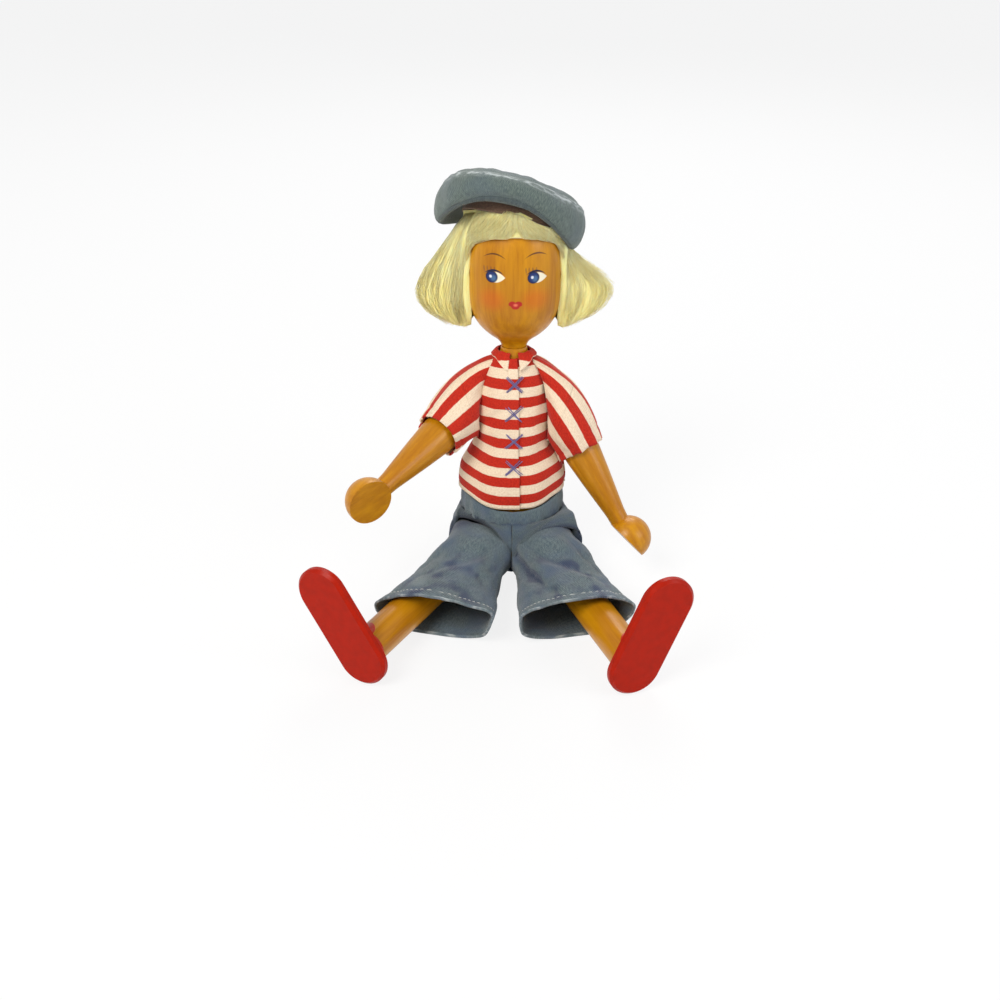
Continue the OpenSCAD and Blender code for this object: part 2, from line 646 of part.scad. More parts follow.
// Slant of the hem as shares of the hem's half width and half height
hem_slant_shares = [0.22, 0.28];
leg_fold_shares = [0.035, 0.03];
function leg_point(side, k, a) = let (
    root_c = [side * hip_x * root_place_shares[0], -seat_d * root_place_shares[1], 0],
    hem_c = [side * leg_hem_y * side_angle(side, hem_mid_shares[0], hem_mid_shares[1]), -leg_hem_y, 0],
    root_wv = [side * leg_r * root_w_share, 0, 0],
    hem_wv = [side * leg_hem_w, leg_hem_w * hem_slant_shares[0], 0],
    root_hv = [0, -seat_d * root_slant_share, leg_hem_h],
    hem_hv = [0, -leg_hem_h * hem_slant_shares[1], leg_hem_h],
    sag = 1 - (1 - leg_mid_share) * sin(180 * k),
    c = root_c + (hem_c - root_c) * k + [0, 0, floor_gap + leg_hem_h * sag],
    fold = 1 + leg_fold_shares[0] * k * sin(5 * a + 40)
        + leg_fold_shares[1] * sin(180 * k) * sin(3 * a + 300 * k),
    x = sq(cos(a), 0.75) * fold, y = sq(sin(a), 0.75) * (sin(a) > 0 ? fold : 1))
    c + (root_wv + (hem_wv - root_wv) * k) * x + (root_hv + (hem_hv - root_hv) * k) * sag * y;
module trouser_leg(side) {
    order = side > 0 ? [for (j = [0 : leg_cols - 1]) j] : [for (j = [leg_cols : -1 : 1]) j];
    color(denim) cloth([for (i = [0 : leg_rows]) [for (j = order)
        leg_point(side, i / leg_rows, j * 360 / leg_cols)]], denim_t);
}

// Seat of the trousers: a bag that is flat on the table and open in front for the legs
seat_front = 22;
seat_back = 16;
seat_rows = 5;
// Clearance of the seat under the waistband
seat_gap = 0.3;
seat_top = hip_z + (waist_s - band_h - seat_gap) / cos(lean);
seat_w_shares = [[0, 0.95], [0.3, 1.03], [0.65, 1], [1, 0.83]];
seat_d_shares = [[0, 0.95], [0.35, 1.05], [0.65, 1.05], [1, 1.07]];
seat_mid_share = 0.16;
seat_bulge_share = 0.17;
// Front edge of the bottom as a share of the seat's half depth
bottom_share = 0.26;
// Way round the seat: the front columns follow the ends of the trouser legs
seat_turns = concat([for (j = [0 : seat_front]) 185 + 170 * j / seat_front],
    [for (j = [1 : seat_back - 1]) 355 + 190 * j / seat_back]);
seat_gap_share = 0.03;
function seat_xy(z, a) = let (k = z / seat_top)
    [seat_w * lookup(k, seat_w_shares) * sq(cos(a), 0.85),
        hip_z * seat_mid_share + seat_d * lookup(k, seat_d_shares) * sq(sin(a), 0.9)];
function lap_edge(j) = let (f = 2 * j / seat_front, side = f < 1 ? -1 : 1,
    p = leg_point(side, 0, -60 + 235 * (f < 1 ? f : 2 - f)))
    [f == 1 ? 0 : p[0], p[1] + seat_gap_share * seat_d, p[2]];
function seat_point(i, j) = let (a = seat_turns[j], k = i / seat_rows, t = seat_xy(seat_top, a),
    high = seat_top - t[1] * tan(lean), z = high * (1 - k), top = [t[0], t[1], high],
    p = seat_xy(z, a))
    j > seat_front ? [p[0], p[1], z]
        : top + (lap_edge(j) - top) * k + [seat_bulge_share * seat_w * cos(a) * sin(180 * k), 0, 0];
module trouser_seat() {
    color(denim) union() {
        cloth([for (i = [seat_rows : -1 : 0]) [for (j = [0 : len(seat_turns) - 1])
            seat_point(i, j)]], denim_t);
        linear_extrude(denim_t) polygon([for (j = [0 : len(seat_turns) - 1])
            let (p = seat_xy(0, seat_turns[j]), q = p * (1 - denim_t / seat_w / 2))
            if (q[1] > -bottom_share * seat_d) q]);
    }
}
module trouser_leg_right() { trouser_leg(-1); }
module trouser_leg_left() { trouser_leg(1); }

torso();
neck_peg();
shoulder_elastic();
hip_elastic();
head();
hair();
cap_top();
cap_underside();
cap_band();
shoulder_hook_right();
shoulder_hook_left();
arm_pin_right();
arm_pin_left();
arm_right();
arm_left();
hip_hook_right();
hip_hook_left();
leg_pin_right();
leg_pin_left();
leg_right();
leg_left();
shoe_sole_right();
shoe_sole_left();
shirt_front_right();
shirt_front_left();
shirt_back();
sleeve_right();
sleeve_left();
collar_right();
collar_left();
front_stitches();
waistband();
trouser_seat();
trouser_leg_right();
trouser_leg_left();
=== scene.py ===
import math
import random

import bpy
from mathutils import Matrix, Vector, noise


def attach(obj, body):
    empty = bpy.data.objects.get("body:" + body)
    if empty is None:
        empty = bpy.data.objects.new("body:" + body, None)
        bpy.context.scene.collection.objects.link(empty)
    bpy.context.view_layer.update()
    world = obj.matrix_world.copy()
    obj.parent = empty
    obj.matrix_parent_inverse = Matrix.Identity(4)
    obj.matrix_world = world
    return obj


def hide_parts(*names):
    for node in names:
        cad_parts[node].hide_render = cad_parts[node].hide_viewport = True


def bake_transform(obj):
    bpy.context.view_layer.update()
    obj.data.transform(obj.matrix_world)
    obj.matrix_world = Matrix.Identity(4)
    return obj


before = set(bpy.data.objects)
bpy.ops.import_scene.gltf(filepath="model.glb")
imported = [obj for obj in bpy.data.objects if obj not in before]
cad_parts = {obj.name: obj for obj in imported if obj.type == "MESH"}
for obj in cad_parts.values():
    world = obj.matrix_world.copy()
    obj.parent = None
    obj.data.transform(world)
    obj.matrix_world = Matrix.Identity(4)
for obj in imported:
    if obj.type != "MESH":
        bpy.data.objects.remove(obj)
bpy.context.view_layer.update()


# Table and studio: a plain pale table top, a white room and large soft lamps.
# The camera looks down on the seated doll from the front, as a shop photograph does.
MM = 0.001


def paint(red, green, blue):
    """Colour given as 0-255 screen values, for a shader."""
    def linear(c):
        """Light of one channel, from its screen value."""
        c /= 255
        return c / 12.92 if c <= 0.04045 else ((c + 0.055) / 1.055) ** 2.4
    return (linear(red), linear(green), linear(blue), 1)


def node(tree, kind, inputs=None, **settings):
    """Shader node with its settings, and its inputs set or linked."""
    made = tree.nodes.new("ShaderNode" + kind)
    for key, value in settings.items():
        setattr(made, key, value)
    for key, value in (inputs or {}).items():
        if isinstance(value, bpy.types.NodeSocket):
            tree.links.new(value, made.inputs[key])
        else:
            made.inputs[key].default_value = value
    return made


def reckon(tree, kind, first, second=0.0, third=0.0):
    """Result of one sum on values that vary over the surface."""
    return node(tree, "Math", {0: first, 1: second, 2: third}, operation=kind).outputs[0]


def lamp(name, place, aim, size, power, tint):
    """Round soft lamp that faces the point it is aimed at."""
    data = bpy.data.lights.new(name, "AREA")
    data.shape = "DISK"
    data.size = size
    data.energy = power
    data.color = tint[:3]
    made = bpy.data.objects.new(name, data)
    bpy.context.collection.objects.link(made)
    made.location = place
    made.rotation_euler = (Vector(aim) - Vector(place)).to_track_quat("-Z", "Y").to_euler()


def white_for_camera(tree, lit, share):
    """Lit surface whose own view, and its mirror image, lean towards plain white."""
    path = node(tree, "LightPath")
    seen = reckon(tree, "MAXIMUM", path.outputs["Is Camera Ray"], path.outputs["Is Glossy Ray"])
    seen = reckon(tree, "MAXIMUM", seen, path.outputs["Is Transmission Ray"])
    part = reckon(tree, "MULTIPLY", seen, share)
    white = node(tree, "Emission" if tree.nodes.get("Material Output") else "Background",
                 {"Color": (1, 1, 1, 1), "Strength": 1})
    return node(tree, "MixShader", {0: part, 1: lit, 2: white.outputs[0]})


CHEST = Vector((-4.1, 0, 24.07)) * MM
CAMERA_AWAY = 400 * MM
CAMERA_RISE = math.radians(30)
CAMERA_ROLL = math.radians(0.53)

camera_data = bpy.data.cameras.new("camera")
camera_data.lens = 41.76
camera_data.sensor_width = 36
camera_data.clip_start = 0.01
camera = bpy.data.objects.new("camera", camera_data)
bpy.context.collection.objects.link(camera)
camera.location = CHEST + CAMERA_AWAY * Vector((0, -math.cos(CAMERA_RISE), math.sin(CAMERA_RISE)))
look = (CHEST - camera.location).to_track_quat("-Z", "Y").to_matrix()
camera.rotation_euler = (look @ Matrix.Rotation(CAMERA_ROLL, 3, "Z")).to_euler()
bpy.context.scene.camera = camera
bpy.context.scene.view_settings.view_transform = "Standard"

room = bpy.data.worlds.new("room")
room.use_nodes = True
bpy.context.scene.world = room
room_light = room.node_tree.nodes["Background"]
room_light.inputs["Color"].default_value = paint(244, 246, 250)
room_light.inputs["Strength"].default_value = 0.37
room_mix = white_for_camera(room.node_tree, room_light.outputs[0], 1)
room.node_tree.links.new(room_mix.outputs[0], room.node_tree.nodes["World Output"].inputs[0])

lamp("window_lamp", (-0.42, -0.55, 0.75), (0, 0, 0.05), 0.5, 6.6, paint(255, 252, 246))
lamp("side_lamp", (0.62, -0.32, 0.42), (0, 0, 0.05), 0.45, 2.1, paint(248, 250, 255))
lamp("back_lamp", (0.1, 0.6, 0.62), (0, 0, 0.07), 0.5, 2.6, paint(255, 255, 255))

table_mesh = bpy.data.meshes.new("table_top")
TABLE_HALF = 4
table_mesh.from_pydata([(-TABLE_HALF, -TABLE_HALF, 0), (TABLE_HALF, -TABLE_HALF, 0),
                        (TABLE_HALF, TABLE_HALF, 0), (-TABLE_HALF, TABLE_HALF, 0)],
                       [], [(0, 1, 2, 3)])
table = bpy.data.objects.new("table_top", table_mesh)
bpy.context.collection.objects.link(table)
table_paint = bpy.data.materials.new("table_paint")
table_paint.use_nodes = True
table_face = table_paint.node_tree.nodes["Principled BSDF"]
table_face.inputs["Base Color"].default_value = paint(240, 240, 240)
table_face.inputs["Roughness"].default_value = 0.8
table_mix = white_for_camera(table_paint.node_tree, table_face.outputs[0], 0.84)
table_paint.node_tree.links.new(
    table_mix.outputs[0], table_paint.node_tree.nodes["Material Output"].inputs[0])
table_mesh.materials.append(table_paint)


# Torso: a turned block of pale hardwood under clear amber lacquer, leaning back a little.
# The neck peg is glued in its top; elastic cord and wire hooks string the limbs through it.
LEAN = math.radians(5)
HIP_Z = 7.5
SIDES = {"right": -1, "left": 1}
torso_frame = Matrix.Translation((0, 0, HIP_Z)) @ Matrix.Rotation(-LEAN, 4, "X")


def finish(name):
    """New material: its node tree and its main shader."""
    made = bpy.data.materials.new(name)
    made.use_nodes = True
    return made, made.node_tree, made.node_tree.nodes["Principled BSDF"]


def own_place(tree, piece_frame):
    """Place on the surface in millimetres, in the frame that the piece was made in."""
    turn = piece_frame.to_3x3().inverted()
    shift = -(turn @ piece_frame.translation)
    where = node(tree, "TexCoord")
    return node(tree, "Mapping", {"Vector": where.outputs["Object"], "Scale": (1 / MM,) * 3,
                                  "Rotation": turn.to_euler(), "Location": shift},
                vector_type="POINT").outputs[0]


def stretched(tree, place, scale):
    """Place with each direction scaled, to draw out a noise along one of them."""
    return node(tree, "VectorMath", {0: place, 1: scale}, operation="MULTIPLY").outputs[0]


def mix(tree, share, first, second):
    """Colour between two, by a share that varies over the surface."""
    made = node(tree, "Mix", {0: share, 6: first, 7: second}, data_type="RGBA")
    return made.outputs[2]


def ramp(tree, value, low, high, to_low=0.0, to_high=1.0):
    """Soft step from one value to another as the first passes from low to high."""
    made = node(tree, "MapRange", {"Value": value, "From Min": low, "From Max": high,
                                   "To Min": to_low, "To Max": to_high},
                interpolation_type="SMOOTHSTEP")
    return made.outputs[0]


def bumps(tree, shader, height, depth_mm):
    """Fine relief of the finish, of the given depth in millimetres."""
    made = node(tree, "Bump", {"Height": height, "Distance": depth_mm * MM, "Strength": 1.0})
    tree.links.new(made.outputs[0], shader.inputs["Normal"])


HONEY = paint(206, 142, 12)
AMBER = paint(168, 102, 1)
RAY_FLECK = paint(142, 82, 8)


def wood_colour(tree, place):
    """Straight grain along the piece, with short darker flecks."""
    long_grain = node(tree, "TexNoise", {"Vector": stretched(tree, place, (1, 1, 0.045)),
                                         "Scale": 0.55, "Detail": 5, "Roughness": 0.62})
    clouds = node(tree, "TexNoise", {"Vector": stretched(tree, place, (1, 1, 0.3)),
                                     "Scale": 0.11, "Detail": 2})
    fleck = node(tree, "TexNoise", {"Vector": stretched(tree, place, (1, 1, 0.16)),
                                    "Scale": 2.6, "Detail": 2})
    tone = reckon(tree, "MULTIPLY", long_grain.outputs[0], 0.62)
    tone = reckon(tree, "MULTIPLY_ADD", clouds.outputs[0], 0.55, tone)
    colour = mix(tree, ramp(tree, tone, 0.34, 0.80), AMBER, HONEY)
    colour = mix(tree, ramp(tree, fleck.outputs[0], 0.62, 0.78, 0, 0.24), colour, RAY_FLECK)
    return colour, long_grain.outputs[0]


def lacquered_wood(name, piece_frame):
    """Grained wood under clear amber lacquer, with what a painted piece needs to add to it."""
    made, tree, shader = finish(name)
    place = own_place(tree, piece_frame)
    colour, grain = wood_colour(tree, place)
    tree.links.new(colour, shader.inputs["Base Color"])
    tree.links.new(ramp(tree, grain, 0.3, 0.7, 0.42, 0.30), shader.inputs["Roughness"])
    shader.inputs["Specular IOR Level"].default_value = 0.26
    shader.inputs["Coat Weight"].default_value = 0.1
    shader.inputs["Coat Roughness"].default_value = 0.2
    bumps(tree, shader, grain, 0.05)
    return made, tree, shader, place, colour


def dress(name, material):
    """Give a part of the frame its finish, and leave its shape as it is."""
    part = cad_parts[name]
    if not part.material_slots:
        part.data.materials.append(material)
    for slot in part.material_slots:
        slot.material = material


torso_wood = lacquered_wood("torso_wood", torso_frame)[0]
dress("torso", torso_wood)
dress("neck_peg", torso_wood)


# Stringing: white elastic cord through the two cross holes, hooked at each end to a bent
# steel wire, and a steel cross pin that holds the eye of each wire in its limb.
ARM_SWING = {-1: 62.6, 1: 17.6}
ARM_LIFT = {-1: 37, 1: 29.5}
LEG_SWING = 86.8
LEG_SPLAY = {-1: 27.5, 1: 20.3}
SHOULDER_X, SHOULDER_S, HIP_X = 15, 50, 10


def turned(angle, axis):
    """Rotation by degrees about an axis."""
    return Matrix.Rotation(math.radians(angle), 4, axis)


shoulder_frame = {s: torso_frame @ Matrix.Translation((s * SHOULDER_X, 0, SHOULDER_S))
                  @ turned(-ARM_SWING[s], "X") for s in (-1, 1)}
arm_frame = {s: shoulder_frame[s] @ turned(-s * ARM_LIFT[s], "Y") for s in (-1, 1)}
hip_frame = {s: torso_frame @ Matrix.Translation((s * HIP_X, 0, 0)) @ turned(-LEG_SWING, "X")
             for s in (-1, 1)}
leg_frame = {s: hip_frame[s] @ turned(-s * LEG_SPLAY[s], "Y") for s in (-1, 1)}

wire, wire_tree, wire_shader = finish("drawn_steel_wire")
wire_place = own_place(wire_tree, torso_frame)
wire_marks = node(wire_tree, "TexNoise", {"Vector": stretched(wire_tree, wire_place, (0.2, 1, 1)),
                                          "Scale": 3.0, "Detail": 3})
wire_tree.links.new(mix(wire_tree, wire_marks.outputs[0], paint(176, 178, 180), paint(132, 130, 126)),
                    wire_shader.inputs["Base Color"])
wire_shader.inputs["Metallic"].default_value = 1
wire_tree.links.new(ramp(wire_tree, wire_marks.outputs[0], 0.3, 0.7, 0.25, 0.45),
                    wire_shader.inputs["Roughness"])
bumps(wire_tree, wire_shader, wire_marks.outputs[0], 0.02)

elastic, elastic_tree, elastic_shader = finish("braided_elastic")
elastic_place = own_place(elastic_tree, torso_frame)
braid = node(elastic_tree, "TexWave", {"Vector": elastic_place, "Scale": 0.9, "Distortion": 1.0},
             bands_direction="DIAGONAL")
elastic_tree.links.new(mix(elastic_tree, braid.outputs["Fac"], paint(214, 208, 196),
                           paint(240, 236, 228)), elastic_shader.inputs["Base Color"])
elastic_shader.inputs["Roughness"].default_value = 0.85
bumps(elastic_tree, elastic_shader, braid.outputs["Fac"], 0.15)
for cord_name in ("shoulder_elastic", "hip_elastic"):
    dress(cord_name, elastic)
for word in SIDES:
    for steel_name in ("shoulder_hook_", "hip_hook_", "arm_pin_", "leg_pin_"):
        dress(steel_name + word, wire)


# Legs: turned hardwood with a rounded top and a slight swell, lacquered clear. The ankle is
# dipped in red: a round lobe in front, as the tongue of a shoe, and a low edge behind.
LEG_LENGTH, SOLE_T = 78.7, 3.3
TOE_OUT = {-1: 33.8, 1: 23.1}
TONGUE_RISE, HEEL_RISE, TONGUE_HALF = 5.0, 2.6, 0.92
SHOE_RED = paint(172, 28, 4)
SHOE_DARK = paint(160, 27, 5)
# A lighter copy of the shoe red, mixed into the ankle's paint as painted light on the dipped ankle.
LIT_TONGUE_RED = paint(196, 40, 12)

for word, s in SIDES.items():
    made, tree, shader, place, colour = lacquered_wood("leg_wood_" + word, leg_frame[s])
    footwise = node(tree, "VectorRotate", {"Vector": place, "Angle": math.radians(-s * TOE_OUT[s])},
                    rotation_type="Z_AXIS").outputs[0]
    parts = node(tree, "SeparateXYZ", {0: footwise})
    front = reckon(tree, "MULTIPLY", parts.outputs[1], -1)
    turn = reckon(tree, "DIVIDE", reckon(tree, "ARCTAN2", parts.outputs[0], front), TONGUE_HALF)
    arch = reckon(tree, "SUBTRACT", 1.0, reckon(tree, "POWER", turn, 2))
    arch = reckon(tree, "POWER", reckon(tree, "MAXIMUM", arch, 0.0), 0.5)
    edge = reckon(tree, "MULTIPLY_ADD", arch, TONGUE_RISE, HEEL_RISE - LEG_LENGTH + SOLE_T)
    dipped = ramp(tree, reckon(tree, "SUBTRACT", edge, parts.outputs[2]), -0.12, 0.12)
    streaks = node(tree, "TexNoise", {"Vector": place, "Scale": 0.5, "Detail": 2})
    red = mix(tree, streaks.outputs[0], SHOE_RED, LIT_TONGUE_RED)
    tree.links.new(mix(tree, dipped, colour, red), shader.inputs["Base Color"])
    dress("leg_" + word, made)


# Arms: turned hardwood that tapers to the wrist, with a ball for the hand that is sawn flat
# inside as a palm. The same clear lacquer runs over the saw cut.
for word, s in SIDES.items():
    dress("arm_" + word, lacquered_wood("arm_wood_" + word, arm_frame[s])[0])


# Shoes: flat soles with round ends and a bevelled rim, sawn from board and dipped in glossy
# red enamel, so the paint has a soft ripple.
for word, s in SIDES.items():
    enamel, tree, shader = finish("shoe_enamel_" + word)
    sole_frame = leg_frame[s] @ Matrix.Translation((0, 0, -LEG_LENGTH)) @ turned(s * TOE_OUT[s], "Z")
    place = own_place(tree, sole_frame)
    ripple = node(tree, "TexNoise", {"Vector": place, "Scale": 0.35, "Detail": 3})
    dust = node(tree, "TexNoise", {"Vector": place, "Scale": 6.0, "Detail": 2})
    tree.links.new(mix(tree, ramp(tree, ripple.outputs[0], 0.3, 0.75), SHOE_RED, SHOE_DARK),
                   shader.inputs["Base Color"])
    tree.links.new(ramp(tree, dust.outputs[0], 0.35, 0.75, 0.34, 0.46), shader.inputs["Roughness"])
    shader.inputs["Specular IOR Level"].default_value = 0.1
    shader.inputs["Coat Weight"].default_value = 0.04
    shader.inputs["Coat Roughness"].default_value = 0.2
    bumps(tree, shader, ripple.outputs[0], 0.08)
    dress("shoe_sole_" + word, enamel)


# Head: turned hardwood, egg-shaped with a narrow neck, lacquered, and free to turn on the peg.
# The face is painted on: blue side-glancing eyes, thin brows, round cheeks and a small mouth.
NECK_S, HEAD_H, HEAD_R = 71.6, 49.5, 15
HEAD_TURNS = 112
# Rows of (share of the head's height, share of its radius), from the neck up.
HEAD_SHARES = [(0, 0.267), (0.03, 0.31), (0.06, 0.41), (0.085, 0.53), (0.121, 0.667),
               (0.162, 0.787), (0.222, 0.90), (0.303, 0.973), (0.40, 1), (0.52, 1),
               (0.64, 0.973), (0.768, 0.88), (0.83, 0.79), (0.885, 0.68), (0.93, 0.54),
               (0.97, 0.36), (0.993, 0.17)]


def between(table, x):
    """Value of a table of (x, value) rows, on a smooth curve that keeps to its highs and lows."""
    if x <= table[0][0]:
        return table[0][1]
    if x >= table[-1][0]:
        return table[-1][1]
    i = max(k for k in range(len(table) - 1) if table[k][0] <= x)
    (x0, y0), (x1, y1) = table[i], table[i + 1]

    def rise(k):
        """Steepness of the straight line from one row to the next."""
        return (table[k + 1][1] - table[k][1]) / (table[k + 1][0] - table[k][0])

    def slope(k):
        """Steepness of the curve at a row, level where the rows turn back."""
        if k == 0 or k == len(table) - 1:
            return rise(min(k, len(table) - 2))
        a, b = rise(k - 1), rise(k)
        return 0 if a * b <= 0 else 2 * a * b / (a + b)
    h = x1 - x0
    t = (x - x0) / h
    return ((1 + 2 * t) * (1 - t) ** 2 * y0 + t * (1 - t) ** 2 * h * slope(i)
            + t * t * (3 - 2 * t) * y1 + t * t * (t - 1) * h * slope(i + 1))


def ease(t):
    """Soft step from 0 to 1."""
    t = min(1, max(0, t))
    return t * t * (3 - 2 * t)


def piece(name, points, faces, material, uvs=None, turn=None, painted_shade_and_light=None):
    """Smooth object from points in millimetres; its cloth lengths join up after one turn."""
    mesh = bpy.data.meshes.new(name)
    mesh.from_pydata([Vector(p) * MM for p in points], [], faces)
    if uvs:
        layer = mesh.uv_layers.new(name="cloth")
        for face in mesh.polygons:
            ends = [uvs[v] for v in face.vertices]
            for loop, (u, v) in zip(face.loop_indices, ends):
                if turn and max(e[0] for e in ends) - u > turn / 2:
                    u += turn
                layer.data[loop].uv = (u, v)
    # Painted shade and painted light per point, kept as the fold attribute for the denim's colour: high
    # in folds and creases, below zero on rises.
    if painted_shade_and_light:
        shade = mesh.attributes.new("fold", "FLOAT", "POINT")
        for spot_data, depth in zip(shade.data, painted_shade_and_light):
            spot_data.value = depth
    mesh.materials.append(material)
    mesh.shade_smooth()
    mesh.update()
    made = bpy.data.objects.new(name, mesh)
    bpy.context.collection.objects.link(made)
    return made


def grid_faces(rows, cols, closed):
    """Faces of a grid of rows by cols points, closed where its last column meets the first."""
    last = cols if closed else cols - 1
    return [(i * cols + j, i * cols + (j + 1) % cols, (i + 1) * cols + (j + 1) % cols,
             (i + 1) * cols + j) for i in range(rows - 1) for j in range(last)]


def head_radius(s):
    """Radius of the head at a height in the torso frame."""
    return HEAD_R * between(HEAD_SHARES, (s - NECK_S) / HEAD_H)


head_levels = [0.0, 0.012] + [0.993 * k / 84 for k in range(2, 85)]
head_points = []
for level in head_levels:
    s_level = NECK_S + HEAD_H * level
    for j in range(HEAD_TURNS):
        a = 2 * math.pi * j / HEAD_TURNS
        r = head_radius(s_level)
        head_points.append(torso_frame @ Vector((r * math.cos(a), r * math.sin(a), s_level)))
head_points.append(torso_frame @ Vector((0, 0, NECK_S + HEAD_H)))
head_faces = grid_faces(len(head_levels), HEAD_TURNS, True)
crown = (len(head_levels) - 1) * HEAD_TURNS
head_faces += [(crown + j, crown + (j + 1) % HEAD_TURNS, len(head_points) - 1)
               for j in range(HEAD_TURNS)]
head_faces.append(tuple(range(HEAD_TURNS - 1, -1, -1)))

face, face_tree, face_shader, face_place, skin_tone = lacquered_wood("painted_face_wood", torso_frame)
face_parts = node(face_tree, "SeparateXYZ", {0: face_place})
in_front = ramp(face_tree, face_parts.outputs[1], -1, -3)


def spot(x, s, half_x, half_s, soft):
    """Share of paint in an oval on the face, 1 inside and 0 outside its soft rim."""
    off = node(face_tree, "VectorMath", {0: face_place, 1: (x, 0, s)}, operation="SUBTRACT")
    off = node(face_tree, "VectorMath", {0: off.outputs[0], 1: (1 / half_x, 0, 1 / half_s)},
               operation="MULTIPLY")
    far = node(face_tree, "VectorMath", {0: off.outputs[0]}, operation="LENGTH")
    return ramp(face_tree, far.outputs["Value"], 1 + soft, 1 - soft)


def stroke(x, s, half, thick, arch, lean=0.0, soft=0.12):
    """Share of paint in a brush stroke that arches over x and thins out at both ends."""
    along = reckon(face_tree, "SUBTRACT", face_parts.outputs[0], x)
    along_squared = reckon(face_tree, "MULTIPLY", along, along)
    middle = reckon(face_tree, "MULTIPLY_ADD", along_squared, -arch, s)
    middle = reckon(face_tree, "MULTIPLY_ADD", along, lean, middle)
    off = reckon(face_tree, "ABSOLUTE", reckon(face_tree, "SUBTRACT", face_parts.outputs[2], middle))
    taper = reckon(face_tree, "MULTIPLY_ADD", along_squared, -1 / half ** 2, 1.0)
    taper = reckon(face_tree, "MAXIMUM", taper, 0.0)
    room_left = reckon(face_tree, "MULTIPLY_ADD", taper, thick,
                       reckon(face_tree, "MULTIPLY", off, -1.0))
    return ramp(face_tree, room_left, 0, soft)


def brushed(under, mask, colour, strength=1.0):
    """Paint laid over what is under it, on the front of the head only."""
    mask = reckon(face_tree, "MULTIPLY", reckon(face_tree, "MULTIPLY", mask, in_front), strength)
    return mix(face_tree, mask, under, colour)


# Places on the face in millimetres: x from its middle, and s along the torso's own axis.
EYES = (-7.3, 5.5)
EYE_S = 97.4
CHEEK = paint(208, 84, 6)
LINE_BROWN = paint(74, 38, 16)
EYE_WHITE = paint(240, 232, 206)
IRIS_BLUE = paint(28, 46, 104)
IRIS_LIGHT = paint(96, 140, 176)
IRIS_RIM = paint(18, 24, 54)
LIP_RED = paint(176, 34, 26)
LIP_HIGHLIGHT = paint(236, 122, 92)
EYE_GLINT = paint(222, 226, 236)

tone = brushed(skin_tone, spot(-7.2, 90.2, 3.5, 3.1, 0.7), CHEEK, 0.45)
tone = brushed(tone, spot(6.2, 90.4, 3.5, 3.1, 0.7), CHEEK, 0.45)
for x in EYES:
    tone = brushed(tone, stroke(x + 1.15, EYE_S - 0.05, 3.1, 1.75, 0.0, 0.0, 0.25), EYE_WHITE)
    tone = brushed(tone, spot(x, EYE_S, 1.85, 1.85, 0.09), IRIS_RIM)
    tone = brushed(tone, spot(x + 0.05, EYE_S, 1.5, 1.5, 0.2), IRIS_BLUE)
    tone = brushed(tone, spot(x + 0.55, EYE_S - 0.35, 0.8, 0.9, 0.6), IRIS_LIGHT, 0.5)
    # Painted highlight: a pale glint on each eye.
    tone = brushed(tone, spot(x - 0.35, EYE_S + 0.1, 0.42, 0.46, 0.3), EYE_GLINT)
    tone = brushed(tone, stroke(x + 0.7, EYE_S + 2.05, 3.4, 0.36, 0.13), IRIS_RIM)
    for tip in (-2.3, -1.3, -0.2, 0.9):
        tone = brushed(tone, stroke(x + tip, EYE_S + 2.2, 0.34, 1.0, 0.0, -1.0, 0.1), IRIS_RIM, 0.35)
tone = brushed(tone, stroke(-6.4, 104.35, 3.9, 0.3, 0.115, -0.04), LINE_BROWN, 0.9)
tone = brushed(tone, stroke(6.2, 104.75, 3.9, 0.3, 0.105, 0.10), LINE_BROWN, 0.9)
for lip_x, lip_s, lip_w, lip_h in ((-0.95, 89.3, 1.15, 0.85), (0.95, 89.3, 1.15, 0.85),
                                   (0, 88.55, 1.35, 1.0), (0, 89.0, 2.05, 0.62)):
    tone = brushed(tone, spot(lip_x + 0.1, lip_s, lip_w, lip_h, 0.16), LIP_RED)
# Painted highlight: a pale spot in the middle of the mouth.
tone = brushed(tone, spot(0.15, 88.95, 0.62, 0.42, 0.7), LIP_HIGHLIGHT, 0.85)
face_tree.links.new(tone, face_shader.inputs["Base Color"])

head = piece("painted_head", head_points, head_faces, face)
head.data.set_sharp_from_angle(angle=math.radians(50))
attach(head, "head")
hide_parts("head")


# Hair: a bob of pale blond mohair glued round the head under the cap, brushed from the middle
# of the forehead to both sides and flicked out at the ends. Each lock is a tapered thread.
CAP_MID = (-0.3, 1.8)
CAP_S, CAP_ROLL, CAP_TILT = 110, 15, 20
CROWN_ROLL, CROWN_SHIFT, CROWN_DROOP, CAP_T = 11, 2.6, 8, 1
BAND_W, BAND_D, BAND_H = 17.2, 15, 3.4
HAIR_LOW, HAIR_W, HAIR_D, HAIR_DROP = 79, 31, 22, 2.4
HAIR_OPEN = 72
FRINGE_S = 109.4
BACK_LOCKS, SIDE_LOCKS, FRINGE_LOCKS = 2600, 420, 240
# How far the hair stands out, from its ends up to the cap, as a share of its full width.
FULL_RIGHT = [(0, 0.66), (0.12, 0.90), (0.3, 1), (0.5, 0.93), (0.7, 0.78), (0.86, 0.66), (1, 0.56)]
FULL_LEFT = [(0, 0.58), (0.12, 0.80), (0.3, 0.95), (0.48, 1.0), (0.66, 0.86), (0.84, 0.69), (1, 0.56)]
brush = random.Random(11)


def cap_foot(x, y):
    """Height of the cap's lower edge over a place on the head."""
    return (CAP_S - (x - CAP_MID[0]) * math.tan(math.radians(CAP_ROLL))
            - (y - CAP_MID[1]) * math.tan(math.radians(CAP_TILT)))


